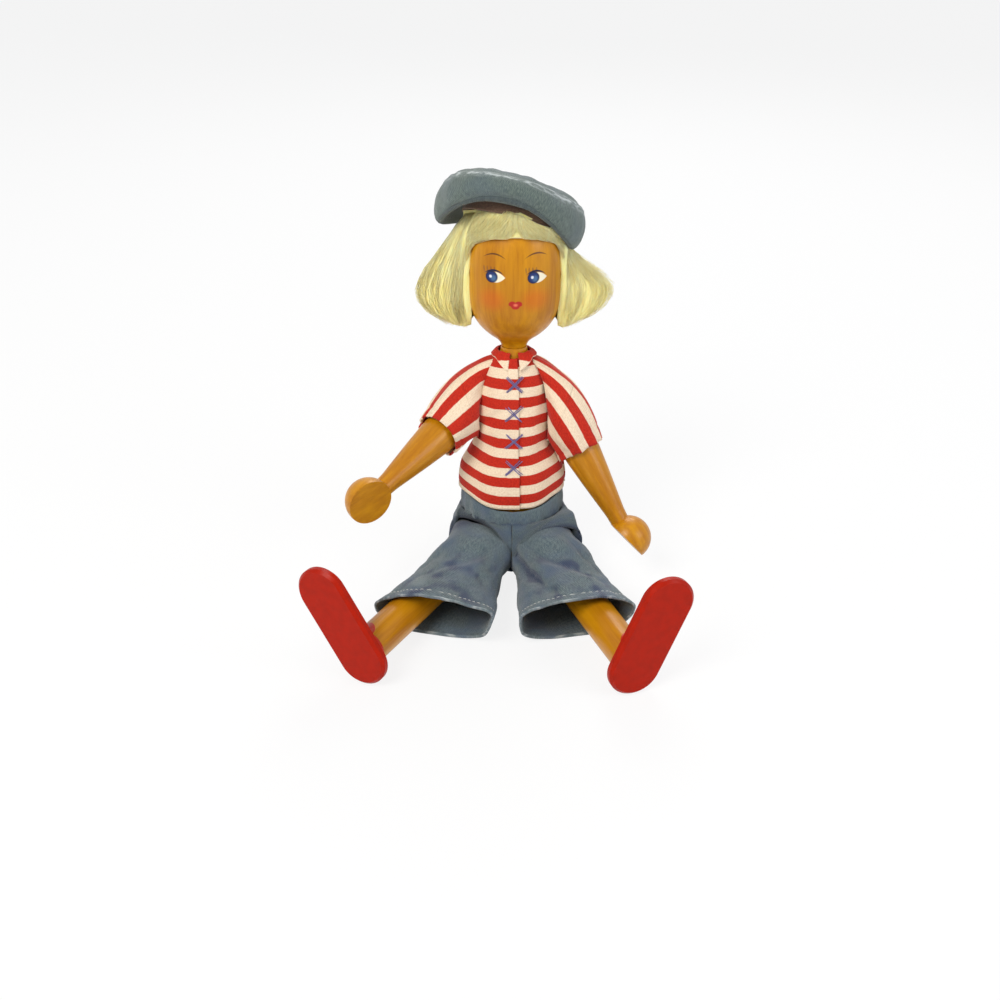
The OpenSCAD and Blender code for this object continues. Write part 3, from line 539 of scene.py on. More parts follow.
def hair_top(a):
    """Height at which the hair goes in under the cap, lower beside the drooping sides."""
    return (cap_foot(HEAD_R * math.sin(a), -HEAD_R * math.cos(a)) - CAP_T
            - HAIR_DROP * math.sin(a) ** 2)


def hair_inner(s):
    """Radius of the head under the hair, which hangs straight beside the neck."""
    return head_radius(max(s, NECK_S + HEAD_H / 4)) + 0.3


def hair_outer(a, s):
    """Radius of the brushed-out hair at an angle from the face and a height."""
    share = (s - HAIR_LOW) / (hair_top(a) - HAIR_LOW)
    left = ease(math.sin(a) / 0.8 + 0.5)
    full = between(FULL_RIGHT, share) * (1 - left) + between(FULL_LEFT, share) * left
    full /= math.hypot(math.sin(a) / HAIR_W, math.cos(a) / HAIR_D)
    turn = math.degrees(a) % 360
    edge = ease(min(turn - HAIR_OPEN, 360 - HAIR_OPEN - turn) / 21.6)
    inner = hair_inner(s)
    return inner + 0.9 + (full - inner) * edge


def under_band(a):
    """Radius just inside the cap's band at an angle from the face."""
    return 1 / math.hypot(math.sin(a) / (BAND_W - 1.3), math.cos(a) / (BAND_D - 3))


def hair_line(a):
    """Lower edge of the hair: across the forehead, then down beside the cheeks."""
    turn = abs((math.degrees(a) + 180) % 360 - 180)
    return (FRINGE_S - 1.3 * ease(turn / 66) - 29.5 * ease((turn - 68) / 9)
            + 0.8 * ease((turn - 90) / 30))


def round_head(a, r, s):
    """Place round the head: angle from the face, radius and height."""
    return torso_frame @ Vector((r * math.sin(a), -r * math.cos(a), s))


hair_points, hair_uvs = [], []
HAIR_TURNS, HAIR_ROWS = 120, 22
for i in range(HAIR_ROWS):
    for j in range(HAIR_TURNS):
        a = 2 * math.pi * j / HAIR_TURNS
        low, top = hair_line(a), hair_top(a) + 2.0 + 3.2 * (1 - math.cos(a)) / 2
        s_hair = low + (top - low) * i / (HAIR_ROWS - 1)
        turn = math.degrees(a)
        if HAIR_OPEN < turn < 360 - HAIR_OPEN:
            inner, outer = hair_inner(s_hair), hair_outer(a, s_hair)
            r = inner + 0.6 + (outer - inner - 0.9) * 0.93
        else:
            r = hair_inner(s_hair) + 0.25 + 1.6 * ease((s_hair - low - 1) / (top - 3 - low))
        if s_hair > hair_top(a):
            r = min(r, max(under_band(a), hair_inner(s_hair)))
        r += 0.35 + 0.35 * noise.noise(Vector((a * 14, s_hair * 0.05, 3)))
        hair_points.append(round_head(a, r, s_hair))
        hair_uvs.append((a * HEAD_R, s_hair))
inner_ring = len(hair_points)
for j in range(HAIR_TURNS):
    a = 2 * math.pi * j / HAIR_TURNS
    s_hair = hair_line(a) + 0.6
    r = hair_inner(s_hair) - 0.15
    hair_points.append(round_head(a, r, s_hair))
    hair_uvs.append((a * HEAD_R, s_hair))
hair_faces = grid_faces(HAIR_ROWS, HAIR_TURNS, True)
hair_faces += [(inner_ring + j, inner_ring + (j + 1) % HAIR_TURNS, (j + 1) % HAIR_TURNS, j)
               for j in range(HAIR_TURNS)]

mohair, mohair_tree, mohair_shader = finish("blond_mohair")
mohair_place = own_place(mohair_tree, torso_frame)
strands_noise = node(mohair_tree, "TexNoise", {"Vector": stretched(mohair_tree, mohair_place,
                                                                   (1, 1, 0.12)),
                                               "Scale": 1.1, "Detail": 4, "Roughness": 0.7})
locks_noise = node(mohair_tree, "TexNoise", {"Vector": stretched(mohair_tree, mohair_place,
                                                                 (1, 1, 0.25)),
                                             "Scale": 0.22, "Detail": 2})
mohair_tone = mix(mohair_tree, ramp(mohair_tree, strands_noise.outputs[0], 0.3, 0.7),
                  paint(248, 230, 140), paint(255, 249, 178))
mohair_tone = mix(mohair_tree, ramp(mohair_tree, locks_noise.outputs[0], 0.35, 0.7, 0, 0.45),
                  mohair_tone, paint(250, 235, 150))
mohair_tree.links.new(mohair_tone, mohair_shader.inputs["Base Color"])
mohair_tree.links.new(ramp(mohair_tree, strands_noise.outputs[0], 0.2, 0.8, 0.55, 0.75),
                      mohair_shader.inputs["Roughness"])
mohair_shader.inputs["Sheen Weight"].default_value = 0.15
mohair_shader.inputs["Sheen Roughness"].default_value = 0.4
mohair_shader.inputs["Subsurface Weight"].default_value = 0.5
mohair_shader.inputs["Subsurface Radius"].default_value = (1.0, 0.8, 0.5)
mohair_shader.inputs["Subsurface Scale"].default_value = 0.002
bumps(mohair_tree, mohair_shader, strands_noise.outputs[0], 0.1)


def threads(name, paths, material, sides=3):
    """One mesh of thin tubes; each path is a list of (place in millimetres, radius)."""
    points, faces = [], []
    for path in paths:
        first = len(points)
        across = Vector((0.93, 0.31, 0.17))
        for i, (p, r) in enumerate(path):
            way = (path[min(i + 1, len(path) - 1)][0] - path[max(i - 1, 0)][0]).normalized()
            across = across - across.dot(way) * way
            if across.length < 0.05:
                across = way.cross(Vector((0, 0, 1)))
            across.normalize()
            other = way.cross(across)
            for k in range(sides):
                a = 2 * math.pi * k / sides
                points.append(p + r * (math.cos(a) * across + math.sin(a) * other))
        faces += [tuple(first + n for n in f) for f in grid_faces(len(path), sides, True)]
        end = len(points) - sides
        faces += [tuple(range(first + sides - 1, first - 1, -1)), tuple(range(end, end + sides))]
    return piece(name, points, faces, material)


def curved(stops, t):
    """Place at share t on a smooth line through the stops."""
    n = len(stops) - 1
    i = min(int(t * n), n - 1)
    u = t * n - i
    p0, p1, p2, p3 = (stops[max(i - 1, 0)], stops[i], stops[i + 1], stops[min(i + 2, n)])
    return 0.5 * (2 * p1 + (p2 - p0) * u + (2 * p0 - 5 * p1 + 4 * p2 - p3) * u * u
                  + (3 * p1 - p0 - 3 * p2 + p3) * u ** 3)


def tapered(stops, thin):
    """Lock of hair along the stops, which thins out towards its end."""
    return [(curved(stops, u / 13), thin * (1 - 0.7 * (u / 13) ** 2)) for u in range(14)]


locks = []
LOCK_STEPS = 11
for _ in range(BACK_LOCKS):
    a = math.radians(brush.uniform(HAIR_OPEN + 3, 360 - HAIR_OPEN - 3))
    side_on = abs(math.sin(a)) ** 2
    leftward = ease(math.sin(a) * 2 - 0.6)
    depth = brush.uniform(0.90, 1.0)
    s_end = HAIR_LOW + brush.uniform(-0.8, 4.5) + leftward * brush.choice((0, 0, 6, 12, 15)) * side_on
    flick = brush.uniform(0.2, 1.6) + leftward * max(0, s_end - 84) * 0.12
    weave = brush.uniform(-1, 1) * 0.06
    phase = brush.uniform(0, 6.28)
    thin = brush.uniform(0.10, 0.17)
    path = []
    for k in range(LOCK_STEPS):
        u = k / (LOCK_STEPS - 1)
        s_here = hair_top(a) + 2.4 + (s_end - hair_top(a) - 2.4) * u
        turn = a + weave * math.sin(2.4 * u + phase) * u
        limit = math.degrees(turn) % 360
        if not HAIR_OPEN + 1 < limit < 360 - HAIR_OPEN - 1:
            turn = a
        inner = hair_inner(s_here)
        outer = hair_outer(turn, s_here)
        r = inner + (outer - inner) * depth * (0.95 + 0.05 * math.sin(5 * u + phase)) + flick * u ** 3
        if s_here > hair_top(a):
            r = min(r, under_band(a))
        path.append((round_head(turn, r, s_here), thin * (1 - 0.75 * u ** 2)))
    locks.append(path)

for s in (-1, 1):
    for _ in range(SIDE_LOCKS):
        k = brush.random()
        start = s * math.radians(2 + 62 * k)
        middle = s * math.radians(40 + 30 * k)
        beside = s * math.radians(74 + 14 * brush.random())
        over = 0.5 + 0.7 * brush.random()
        top = hair_top(start) + 1.3
        line = hair_line(start) + brush.uniform(0.1, 1.0)
        s_mid = 108.6 + 3.4 * brush.random() ** 1.5
        s_side = 104 + 4 * brush.random()
        s_tip = HAIR_LOW + brush.uniform(0, 6)
        stops = [round_head(start, hair_inner(top) + over + 1.4, top),
                 round_head(0.5 * (start + middle), hair_inner(line) + over + 0.7, max(line, s_mid)),
                 round_head(middle + (beside - middle) * 0.55, hair_inner(107) + over, s_side + 1.5),
                 round_head(beside, hair_inner(99) + over + 0.3, s_side - 6),
                 round_head(beside * 1.03, hair_inner(92) + over + 1.0, 91),
                 round_head(beside * 1.06, hair_inner(86) + over + brush.uniform(1.2, 3.0), s_tip)]
        thin = brush.uniform(0.09, 0.15)
        locks.append(tapered(stops, thin))

for _ in range(FRINGE_LOCKS):
    start = math.radians(brush.uniform(-17, 17))
    s = -1 if start < 0 else 1
    sweep = s * math.radians(brush.uniform(14, 26))
    over = 0.5 + 0.6 * brush.random()
    top = hair_top(start) + 1.3
    line = hair_line(start) + brush.uniform(-0.3, 0.5)
    stops = [round_head(start, hair_inner(top) + over + 1.5, top),
             round_head(start * 1.1, hair_inner(line + 3) + over + 0.9, 0.45 * top + 0.55 * line),
             round_head(start + 0.35 * sweep, hair_inner(line) + over, line + 0.35),
             round_head(start + sweep, hair_inner(line) + over, line - 0.15),
             round_head(start + 2 * sweep, hair_inner(line) + over, line - 0.6)]
    thin = brush.uniform(0.09, 0.14)
    locks.append(tapered(stops, thin))

hair_shell = piece("hair_shell", hair_points, hair_faces, mohair, hair_uvs)
hair_locks = threads("hair_locks", locks, mohair)
for hair in (hair_shell, hair_locks):
    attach(hair, "head")
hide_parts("hair")


# Cap: a soft flat cap of washed denim, stitched from a round top, a curved underside and a
# brown band inside. It sits tipped back and to one side, and is rubbed pale along its seam.
CAP_W, CAP_H = 24, 14
CAP_TURNS = 144
TWILL_RIB = 0.62
# Rows of (radius, height, droop at the sides, shift to one side), each as a share.
CROWN_SHARES = [(0.9, 0.285, 0.96, 1), (0.93, 0.33, 1, 1), (0.985, 0.42, 0.82, 1), (1, 0.53, 0.59, 1),
                (0.965, 0.68, 0.33, 1), (0.86, 0.82, 0.14, 1), (0.66, 0.93, 0.04, 1),
                (0.4, 0.985, 0, 1), (0.14, 1, 0, 1), (0, 1, 0, 1)]
UNDER_SHARES = [(0.893, 0.335, 0.96, 1), (0.875, 0.29, 0.9, 1), (0.84, 0.265, 0.3, 0.5),
                (0.775, 0.285, 0, 0)]


def cap_frame(roll):
    """Frame of the crown or the band: tipped back by the tilt, and to one side by its roll."""
    return (torso_frame @ Matrix.Translation((*CAP_MID, CAP_S)) @ turned(-CAP_TILT, "X")
            @ turned(roll, "Y"))


def cap_place(shares, a):
    """Place on the crown: shares are its radius, height, droop at the sides and shift."""
    share_r, share_h, droop, shift = shares
    r = CAP_W * share_r * (1 + 0.03 * math.sin(3 * a + 0.7) * share_r)
    z = CAP_H * share_h + 0.42 * math.sin(2 * a + 0.35) - CROWN_DROOP * droop * math.cos(a) ** 2
    return Vector((r * math.cos(a) - CROWN_SHIFT * shift,
                   r * BAND_D / BAND_W * 1.06 * math.sin(a), z))


def thick_cloth(made, thickness, middle=None):
    """Give a sheet its thickness towards its middle, and keep the result as its mesh."""
    mesh = made.data
    if middle is None:
        middle = sum((v.co for v in mesh.vertices), Vector()) / len(mesh.vertices)
    if sum(f.normal.dot(f.center - middle) * f.area for f in mesh.polygons) < 0:
        mesh.flip_normals()
    shell = made.modifiers.new("thickness", "SOLIDIFY")
    shell.thickness = thickness * MM
    shell.offset = -1
    bpy.context.view_layer.update()
    done = bpy.data.meshes.new_from_object(made.evaluated_get(bpy.context.evaluated_depsgraph_get()))
    made.modifiers.clear()
    made.data = done
    made.data.shade_smooth()
    return made


def denim(name, rubbed, blue, yarns=((68, 86, 94), (112, 128, 130))):
    """Washed twill: slanted ribs, white and blue yarns, painted shade in the folds with painted light on
    their rises, and rubbed seams.
    """
    made, tree, shader = finish(name)
    cloth = node(tree, "TexCoord").outputs["UV"]
    parts = node(tree, "SeparateXYZ", {0: cloth})
    slant = reckon(tree, "ADD", parts.outputs[0], parts.outputs[1])
    ribs = reckon(tree, "SINE", reckon(tree, "MULTIPLY", slant, 2 * math.pi / TWILL_RIB))
    yarn = node(tree, "TexNoise", {"Vector": stretched(tree, cloth, (2.2, 0.5, 1)), "Scale": 1.6,
                                   "Detail": 4, "Roughness": 0.7})
    wash = node(tree, "TexNoise", {"Vector": cloth, "Scale": 0.10, "Detail": 3})
    lint = node(tree, "TexNoise", {"Vector": cloth, "Scale": 2.4, "Detail": 3, "Roughness": 0.8})
    base = mix(tree, ramp(tree, yarn.outputs[0], 0.32, 0.70), *(paint(*c) for c in yarns))
    base = mix(tree, ramp(tree, wash.outputs[0], 0.40, 0.68, 0, blue), base, paint(78, 96, 118))
    base = mix(tree, ramp(tree, ribs, -0.6, 1.0, 0.0, 0.22), base, paint(66, 78, 88))
    base = mix(tree, ramp(tree, lint.outputs[0], 0.60, 0.78, 0, 0.32), base, paint(168, 174, 172))
    # Painted shade and painted light from the fold attribute: deep blue in folds and creases, paler on
    # the rises.
    fold = node(tree, "Attribute", attribute_name="fold").outputs["Fac"]
    base = mix(tree, ramp(tree, fold, 0.1, 1.0, 0, 0.8), base, paint(30, 46, 80))
    base = mix(tree, ramp(tree, fold, -0.1, -1.0, 0, 0.4), base, paint(138, 152, 152))
    for middle, half in rubbed:
        off = reckon(tree, "ABSOLUTE", reckon(tree, "SUBTRACT", parts.outputs[1], middle))
        near = ramp(tree, off, half, half * 0.2)
        patch = node(tree, "TexNoise", {"Vector": stretched(tree, cloth, (0.35, 1, 1)),
                                        "Scale": 1.1, "Detail": 4})
        worn = reckon(tree, "MULTIPLY", near, ramp(tree, patch.outputs[0], 0.44, 0.66, 0.1, 0.95))
        base = mix(tree, worn, base, paint(190, 198, 198))
    tree.links.new(base, shader.inputs["Base Color"])
    shader.inputs["Roughness"].default_value = 0.88
    shader.inputs["Sheen Weight"].default_value = 0.25
    shader.inputs["Sheen Roughness"].default_value = 0.5
    bumps(tree, shader, reckon(tree, "MULTIPLY_ADD", ribs, 0.35, yarn.outputs[0]), 0.14)
    return made


def cap_ring_length(table):
    """Distance from the edge over the cloth at each row of a table of cap shares."""
    out = [0]
    for below, above in zip(table, table[1:]):
        out.append(out[-1] + math.hypot((above[0] - below[0]) * CAP_W, (above[1] - below[1]) * CAP_H))
    return out


def cap_sheet(name, table, rows, dents, material):
    """Round piece of the cap through the rows of a table, pressed in and out by the dents."""
    lengths = cap_ring_length(table)
    columns = [[(l, row[c]) for l, row in zip(lengths, table)] for c in range(4)]
    points, uvs = [], []
    for i in range(rows):
        v = lengths[-1] * i / (rows - 1)
        shares = [between(column, v) for column in columns]
        shares[0] = max(shares[0], 0.004)
        for j in range(CAP_TURNS):
            a = 2 * math.pi * j / CAP_TURNS
            out = Vector((math.cos(a) * shares[0], math.sin(a) * shares[0], shares[1] - 0.15))
            p = cap_place(shares, a) + out.normalized() * dents(a, v, shares[0])
            points.append(cap_frame(CROWN_ROLL) @ p)
            uvs.append((a * CAP_W * 0.8, v))
    return piece(name, points, grid_faces(rows, CAP_TURNS, True), material, uvs,
                 2 * math.pi * CAP_W * 0.8)


CROWN_LENGTHS = cap_ring_length(CROWN_SHARES)
CAP_SEAM = 0.5 * (CROWN_LENGTHS[4] + CROWN_LENGTHS[5])


def crown_dents(a, v, share_r):
    """How far the crown stands off: soft puffs, creases, and the ridge of its seam."""
    puff = 0.55 * noise.noise(Vector((2.2 * math.cos(a), 2.2 * math.sin(a), v * 0.11 + 5)))
    creases = 0.35 * noise.noise(Vector((6 * math.cos(a), 6 * math.sin(a), v * 0.22 + 9)))
    seam = (0.32 * math.exp(-((v - CAP_SEAM) / 0.55) ** 2)
            - 0.25 * math.exp(-((v - CAP_SEAM - 1.3) / 0.7) ** 2))
    return (puff + creases) * min(1, share_r * 1.6) + seam - 0.2


CAP_YARNS = ((70, 85, 81), (113, 127, 119))
cap_denim = denim("cap_denim", [(CAP_SEAM, 2.2)], 0.25, CAP_YARNS)
cap_crown = thick_cloth(cap_sheet("cap_crown", CROWN_SHARES, 44, crown_dents, cap_denim), 0.9)
# The underside is the cap's denim painted darker, as painted shade under the roll of the cap.
shaded_under_denim = denim("cap_under_shaded_denim", [], 0.1, ((54, 66, 66), (86, 98, 96)))
cap_under = thick_cloth(cap_sheet("cap_under", UNDER_SHARES, 16, lambda a, v, r: -0.1, shaded_under_denim), 0.8)
for made, replaced in ((cap_crown, "cap_top"), (cap_under, "cap_underside")):
    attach(made, "head")
    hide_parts(replaced)

band_cloth, band_tree, band_shader = finish("brown_band_cloth")
band_uv = node(band_tree, "TexCoord").outputs["UV"]
band_yarn = node(band_tree, "TexNoise", {"Vector": stretched(band_tree, band_uv, (0.6, 3, 1)),
                                         "Scale": 1.8, "Detail": 4})
band_tree.links.new(mix(band_tree, ramp(band_tree, band_yarn.outputs[0], 0.3, 0.7),
                        paint(84, 60, 46), paint(124, 96, 76)), band_shader.inputs["Base Color"])
band_shader.inputs["Roughness"].default_value = 0.85
band_shader.inputs["Sheen Weight"].default_value = 0.2
bumps(band_tree, band_shader, band_yarn.outputs[0], 0.15)
band_points, band_uvs = [], []
BAND_ROWS = 7
for i in range(BAND_ROWS):
    for j in range(CAP_TURNS):
        a = 2 * math.pi * j / CAP_TURNS
        z = BAND_H * i / (BAND_ROWS - 1)
        out = 0.06 * math.sin(9 * a) + 0.05 * math.sin(23 * a + 2)
        band_points.append(cap_frame(CAP_ROLL) @ Vector(((BAND_W + out) * math.cos(a),
                                                         (BAND_D + out) * math.sin(a), z)))
        band_uvs.append((a * BAND_W, z))
cap_band = thick_cloth(piece("cap_band_cloth", band_points, grid_faces(BAND_ROWS, CAP_TURNS, True),
                             band_cloth, band_uvs, 2 * math.pi * BAND_W), 0.9)
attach(cap_band, "head")
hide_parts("cap_band")


# Shirt: cut from red and cream striped cotton jersey and sewn from two fronts, a back, two
# raglan sleeves and a collar. The right front laps over the left one, and a hem runs round.
HEM_S, NECKLINE_S = 20, 69
SHIRT_W, SHIRT_D, SHIRT_T = 18.2, 17.3, 0.8
SHIRT_SPAN = NECKLINE_S - HEM_S
# Half width and half depth of the shirt and the place of its raglan seam, from hem to neckline.
W_SHARES = [(0, 1), (0.1, 1), (0.2, 0.965), (0.285, 0.85), (0.35, 0.74), (0.42, 0.72),
            (0.62, 0.76), (0.82, 0.67), (0.94, 0.52), (1, 0.385)]
D_SHARES = [(0, 1), (0.1, 0.985), (0.2, 0.945), (0.37, 0.83), (0.62, 0.70), (0.82, 0.57),
            (0.94, 0.44), (1, 0.37)]
SEAM_SHARES = [(0, 1), (0.35, 1), (0.42, 0.68), (0.62, 0.67), (0.82, 0.59), (0.94, 0.45), (1, 0.33)]
STRIPE = 6.35
KNIT_RIB, KNIT_ROW = 0.42, 0.5
RED_STRIPE_S = 61.2
LAP_ANGLE = 82
HEM_RISE = 3.2
PANEL_ROWS, PANEL_COLS = 64, 44


def straight(table, x):
    """Value of a table of (x, value) rows on straight lines."""
    for (x0, y0), (x1, y1) in zip(table, table[1:]):
        if x <= x1:
            return y0 + (y1 - y0) * max(0, x - x0) / (x1 - x0)
    return table[-1][1]


def soft_table(table, x):
    """Value of such a table with its corners rounded off."""
    return sum(straight(table, x + 0.02 * k) for k in (-1, -0.5, 0, 0.5, 1)) / 5


def shirt_place(k, a, inset):
    """Place on the shirt: k from hem to neckline, a round from the left side over the front."""
    fold = 0.5 * (1 - k) ** 2 * math.sin(7 * a)
    w = SHIRT_W * soft_table(W_SHARES, k) + fold - inset
    d = SHIRT_D * soft_table(D_SHARES, k) + fold - inset
    return Vector((w * math.cos(a), -d * math.sin(a), HEM_S + k * SHIRT_SPAN))


def seam_turn(k):
    """Angle at which a raglan seam crosses the side of the shirt at a height."""
    w, e = soft_table(W_SHARES, k), soft_table(SEAM_SHARES, k)
    return 0 if e >= w else math.acos(e / w)


def striped(name, stripe, middle):
    """Printed jersey: red stripes on cream across the cloth's second direction."""
    made, tree, shader = finish(name)
    cloth = node(tree, "TexCoord").outputs["UV"]
    wobble = node(tree, "TexNoise", {"Vector": cloth, "Scale": 0.7, "Detail": 3})
    parts = node(tree, "SeparateXYZ", {0: cloth})
    across = reckon(tree, "MULTIPLY_ADD", wobble.outputs[0], 0.28, parts.outputs[1])
    turn = reckon(tree, "SUBTRACT", across, middle + 0.14)
    turn = reckon(tree, "MULTIPLY", turn, 2 * math.pi / stripe)
    is_red = ramp(tree, reckon(tree, "COSINE", turn), -0.16, 0.06)
    rib = reckon(tree, "SINE", reckon(tree, "MULTIPLY", parts.outputs[0], 2 * math.pi / KNIT_RIB))
    row = reckon(tree, "SINE", reckon(tree, "MULTIPLY", parts.outputs[1], 2 * math.pi / KNIT_ROW))
    knit = reckon(tree, "ADD", rib, row)
    yarn = node(tree, "TexNoise", {"Vector": cloth, "Scale": 1.9, "Detail": 4, "Roughness": 0.7})
    reds = mix(tree, ramp(tree, yarn.outputs[0], 0.3, 0.7), paint(174, 28, 10), paint(204, 44, 20))
    creams = mix(tree, ramp(tree, yarn.outputs[0], 0.3, 0.7), paint(232, 206, 176), paint(248, 230, 204))
    base = mix(tree, is_red, creams, reds)
    # Painted shade in the hollows between the knit's ribs and rows.
    base = mix(tree, ramp(tree, knit, -2.0, -0.4, 0.16, 0.0), base, paint(96, 40, 26))
    tree.links.new(base, shader.inputs["Base Color"])
    shader.inputs["Roughness"].default_value = 0.85
    shader.inputs["Specular IOR Level"].default_value = 0.3
    shader.inputs["Sheen Weight"].default_value = 0.1
    shader.inputs["Sheen Roughness"].default_value = 0.45
    bumps(tree, shader, reckon(tree, "MULTIPLY_ADD", knit, 0.12, yarn.outputs[0]), 0.13)
    return made


# Creases of the fronts: from (x, s) to (x, s), then half width and depth.
SHIRT_CREASES = [(-12.0, 47.5, -1.5, 55.5, 1.6, 0.75), (-12.5, 42.5, -3.0, 45.0, 1.5, 0.4),
                 (12.0, 43.0, 4.0, 50.0, 1.5, 0.45), (11.5, 58.0, 8.0, 40.0, 1.4, 0.35)]
CROSS_LEVELS = (0.29, 0.47, 0.65, 0.84)
CHEST_MIDDLE = torso_frame @ Vector((0, 0, 45)) * MM


def shirt_folds(p, k, a):
    """How far the cloth stands off: pulled in by the crosses, gathered below the armholes."""
    out = 0.42 * noise.noise(Vector((p.x * 0.16, p.y * 0.16 + 7, p.z * 0.10)))
    armpit = math.exp(-((k - 0.45) / 0.13) ** 2) * (abs(math.cos(a)) ** 2)
    out += 0.45 * armpit * math.sin(13 * a + 3 * k)
    for x0, s0, x1, s1, wide, deep in SHIRT_CREASES:
        way = Vector((x1 - x0, s1 - s0))
        at = Vector((p.x - x0, p.z - s0))
        along = at.dot(way) / way.length_squared
        off = (at.y * way.x - at.x * way.y) / way.length / wide
        held = ease(along * 3 + 0.6) * ease((1 - along) * 2.2)
        out += deep * off * math.exp(0.5 - off * off) * held * (p.y < 0)
    for level in CROSS_LEVELS:
        near = math.exp(-((p.x) / 2.6) ** 2 - ((k - level) * SHIRT_SPAN / 2.2) ** 2)
        out -= 0.22 * near * (p.y < 0)
    return out * 0.8 - 0.15


def shirt_panel(name, first_turn, last_turn, inset, material):
    """Panel of the shirt between two angles, each given by the seam beside it."""
    points, uvs = [], []
    for i in range(PANEL_ROWS):
        k = 1 - i / (PANEL_ROWS - 1)
        g = seam_turn(k)
        a0, a1 = first_turn(g), last_turn(g)
        for j in range(PANEL_COLS):
            a = a0 + (a1 - a0) * j / (PANEL_COLS - 1)
            p = shirt_place(k, a, inset)
            out = Vector((math.cos(a), -math.sin(a), 0))
            hem = 0.18 * math.exp(-((p.z - HEM_S - 1.6) / 0.4) ** 2)
            p += out * (shirt_folds(p, k, a) - hem)
            uvs.append((a * SHIRT_W * 0.8, p.z))
            p.z += HEM_RISE * (1 - k) ** 3 * math.cos(a) ** 2
            points.append(torso_frame @ p)
    return thick_cloth(piece(name, points, grid_faces(PANEL_ROWS, PANEL_COLS, False), material, uvs),
                       SHIRT_T * 0.7, CHEST_MIDDLE)


body_stripes = striped("body_stripes", STRIPE, RED_STRIPE_S)
left_stripes = striped("left_front_stripes", STRIPE, RED_STRIPE_S + 0.35)
LAP = math.radians(LAP_ANGLE)
shirt_pieces = {
    "shirt_front_left": shirt_panel("shirt_front_left_cloth", lambda g: g, lambda g: LAP + 0.06, 0.75,
                                    left_stripes),
    "shirt_front_right": shirt_panel("shirt_front_right_cloth", lambda g: LAP, lambda g: math.pi - g,
                                     0, body_stripes),
    "shirt_back": shirt_panel("shirt_back_cloth", lambda g: math.pi + g, lambda g: 2 * math.pi - g,
                              0, body_stripes)}
for replaced, made in shirt_pieces.items():
    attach(made, "torso")
    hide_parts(replaced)


# Sleeves: short raglan sleeves with the stripes running down the arm, gathered at the seam.
# Each is made as an upper and a lower part, split halfway along it.
ARM_R, CUFF_OUT, CUFF_R = 6.4, 16, 7.2
SLEEVE_TURNS, SLEEVE_STRIPES = 96, 8
SLEEVE_SPLIT = 0.5


def arm_way(s):
    """Direction of an arm from its shoulder, in the torso frame."""
    lift, swing = math.radians(ARM_LIFT[s]), math.radians(ARM_SWING[s])
    return Vector((s * math.sin(lift), -math.cos(lift) * math.sin(swing),
                   -math.cos(lift) * math.cos(swing)))


def armhole(s, a):
    """Place on the armhole seam in the torso frame, tucked under the fronts and the back."""
    s_seam = SHOULDER_S + CUFF_OUT / 6 + (15.6 if math.cos(a) > 0 else 13.75) * math.cos(a)
    k = (s_seam - HEM_S) / SHIRT_SPAN
    w = SHIRT_W * soft_table(W_SHARES, k)
    x = min(SHIRT_W * soft_table(SEAM_SHARES, k) - 0.9, w - 0.3)
    y = SHIRT_D * soft_table(D_SHARES, k) * math.sqrt(1 - (x / w) ** 2) - 0.55
    y *= ease(0.5 + 0.5 * math.sin(a) / 0.4) * 2 - 1
    return Vector((s * x, -s * y, s_seam))


def sleeve_place(s, k, a):
    """Place on a sleeve in the torso frame: k from the seam to the cuff, a round it."""
    d = arm_way(s)
    pivot = Vector((s * SHOULDER_X, 0, SHOULDER_S))
    out = Vector((s * 0.9, 0, 1))
    u = (out - out.dot(d) * d).normalized()
    w = u * math.cos(a) + d.cross(u) * math.sin(a)
    fullness = 1.28 + 1.05 * min(1, 0.6 * (1 + math.cos(a)) + 0.4 * math.sin(a) ** 2)
    full = pivot + fullness * ARM_R * (w + Vector((0, -s * math.sin(a), math.cos(a)))).normalized()
    cuff = pivot + CUFF_OUT * d + (CUFF_R + SHIRT_T) * w
    p = (1 - k) ** 2 * armhole(s, a) + 2 * k * (1 - k) * full + k * k * cuff
    centre = pivot + CUFF_OUT * max(0, k - 0.3) * d
    gather = 0.34 * math.sin(17 * a) * math.exp(-((k - 0.13) / 0.11) ** 2)
    drape = 0.95 * noise.noise(Vector((3 * math.cos(a), 3 * math.sin(a), 2.2 * k + 3 * s)))
    hem = 0.22 * math.exp(-((k - 0.9) / 0.02) ** 2)
    return p + (p - centre).normalized() * (gather + drape * min(1, 3 * k) - hem)


def sleeve_part(name, s, k0, k1, rows, material):
    """Part of a sleeve between two shares of its length."""
    points, uvs = [], []
    for i in range(rows):
        k = k0 + (k1 - k0) * i / (rows - 1)
        for j in range(SLEEVE_TURNS + 1):
            a = 2 * math.pi * j / SLEEVE_TURNS + math.pi
            points.append(torso_frame @ sleeve_place(s, k, a))
            uvs.append((k * 22, a / (2 * math.pi) * SLEEVE_STRIPES * STRIPE))
    return thick_cloth(piece(name, points, grid_faces(rows, SLEEVE_TURNS + 1, False), material, uvs),
                       SHIRT_T * 0.8)


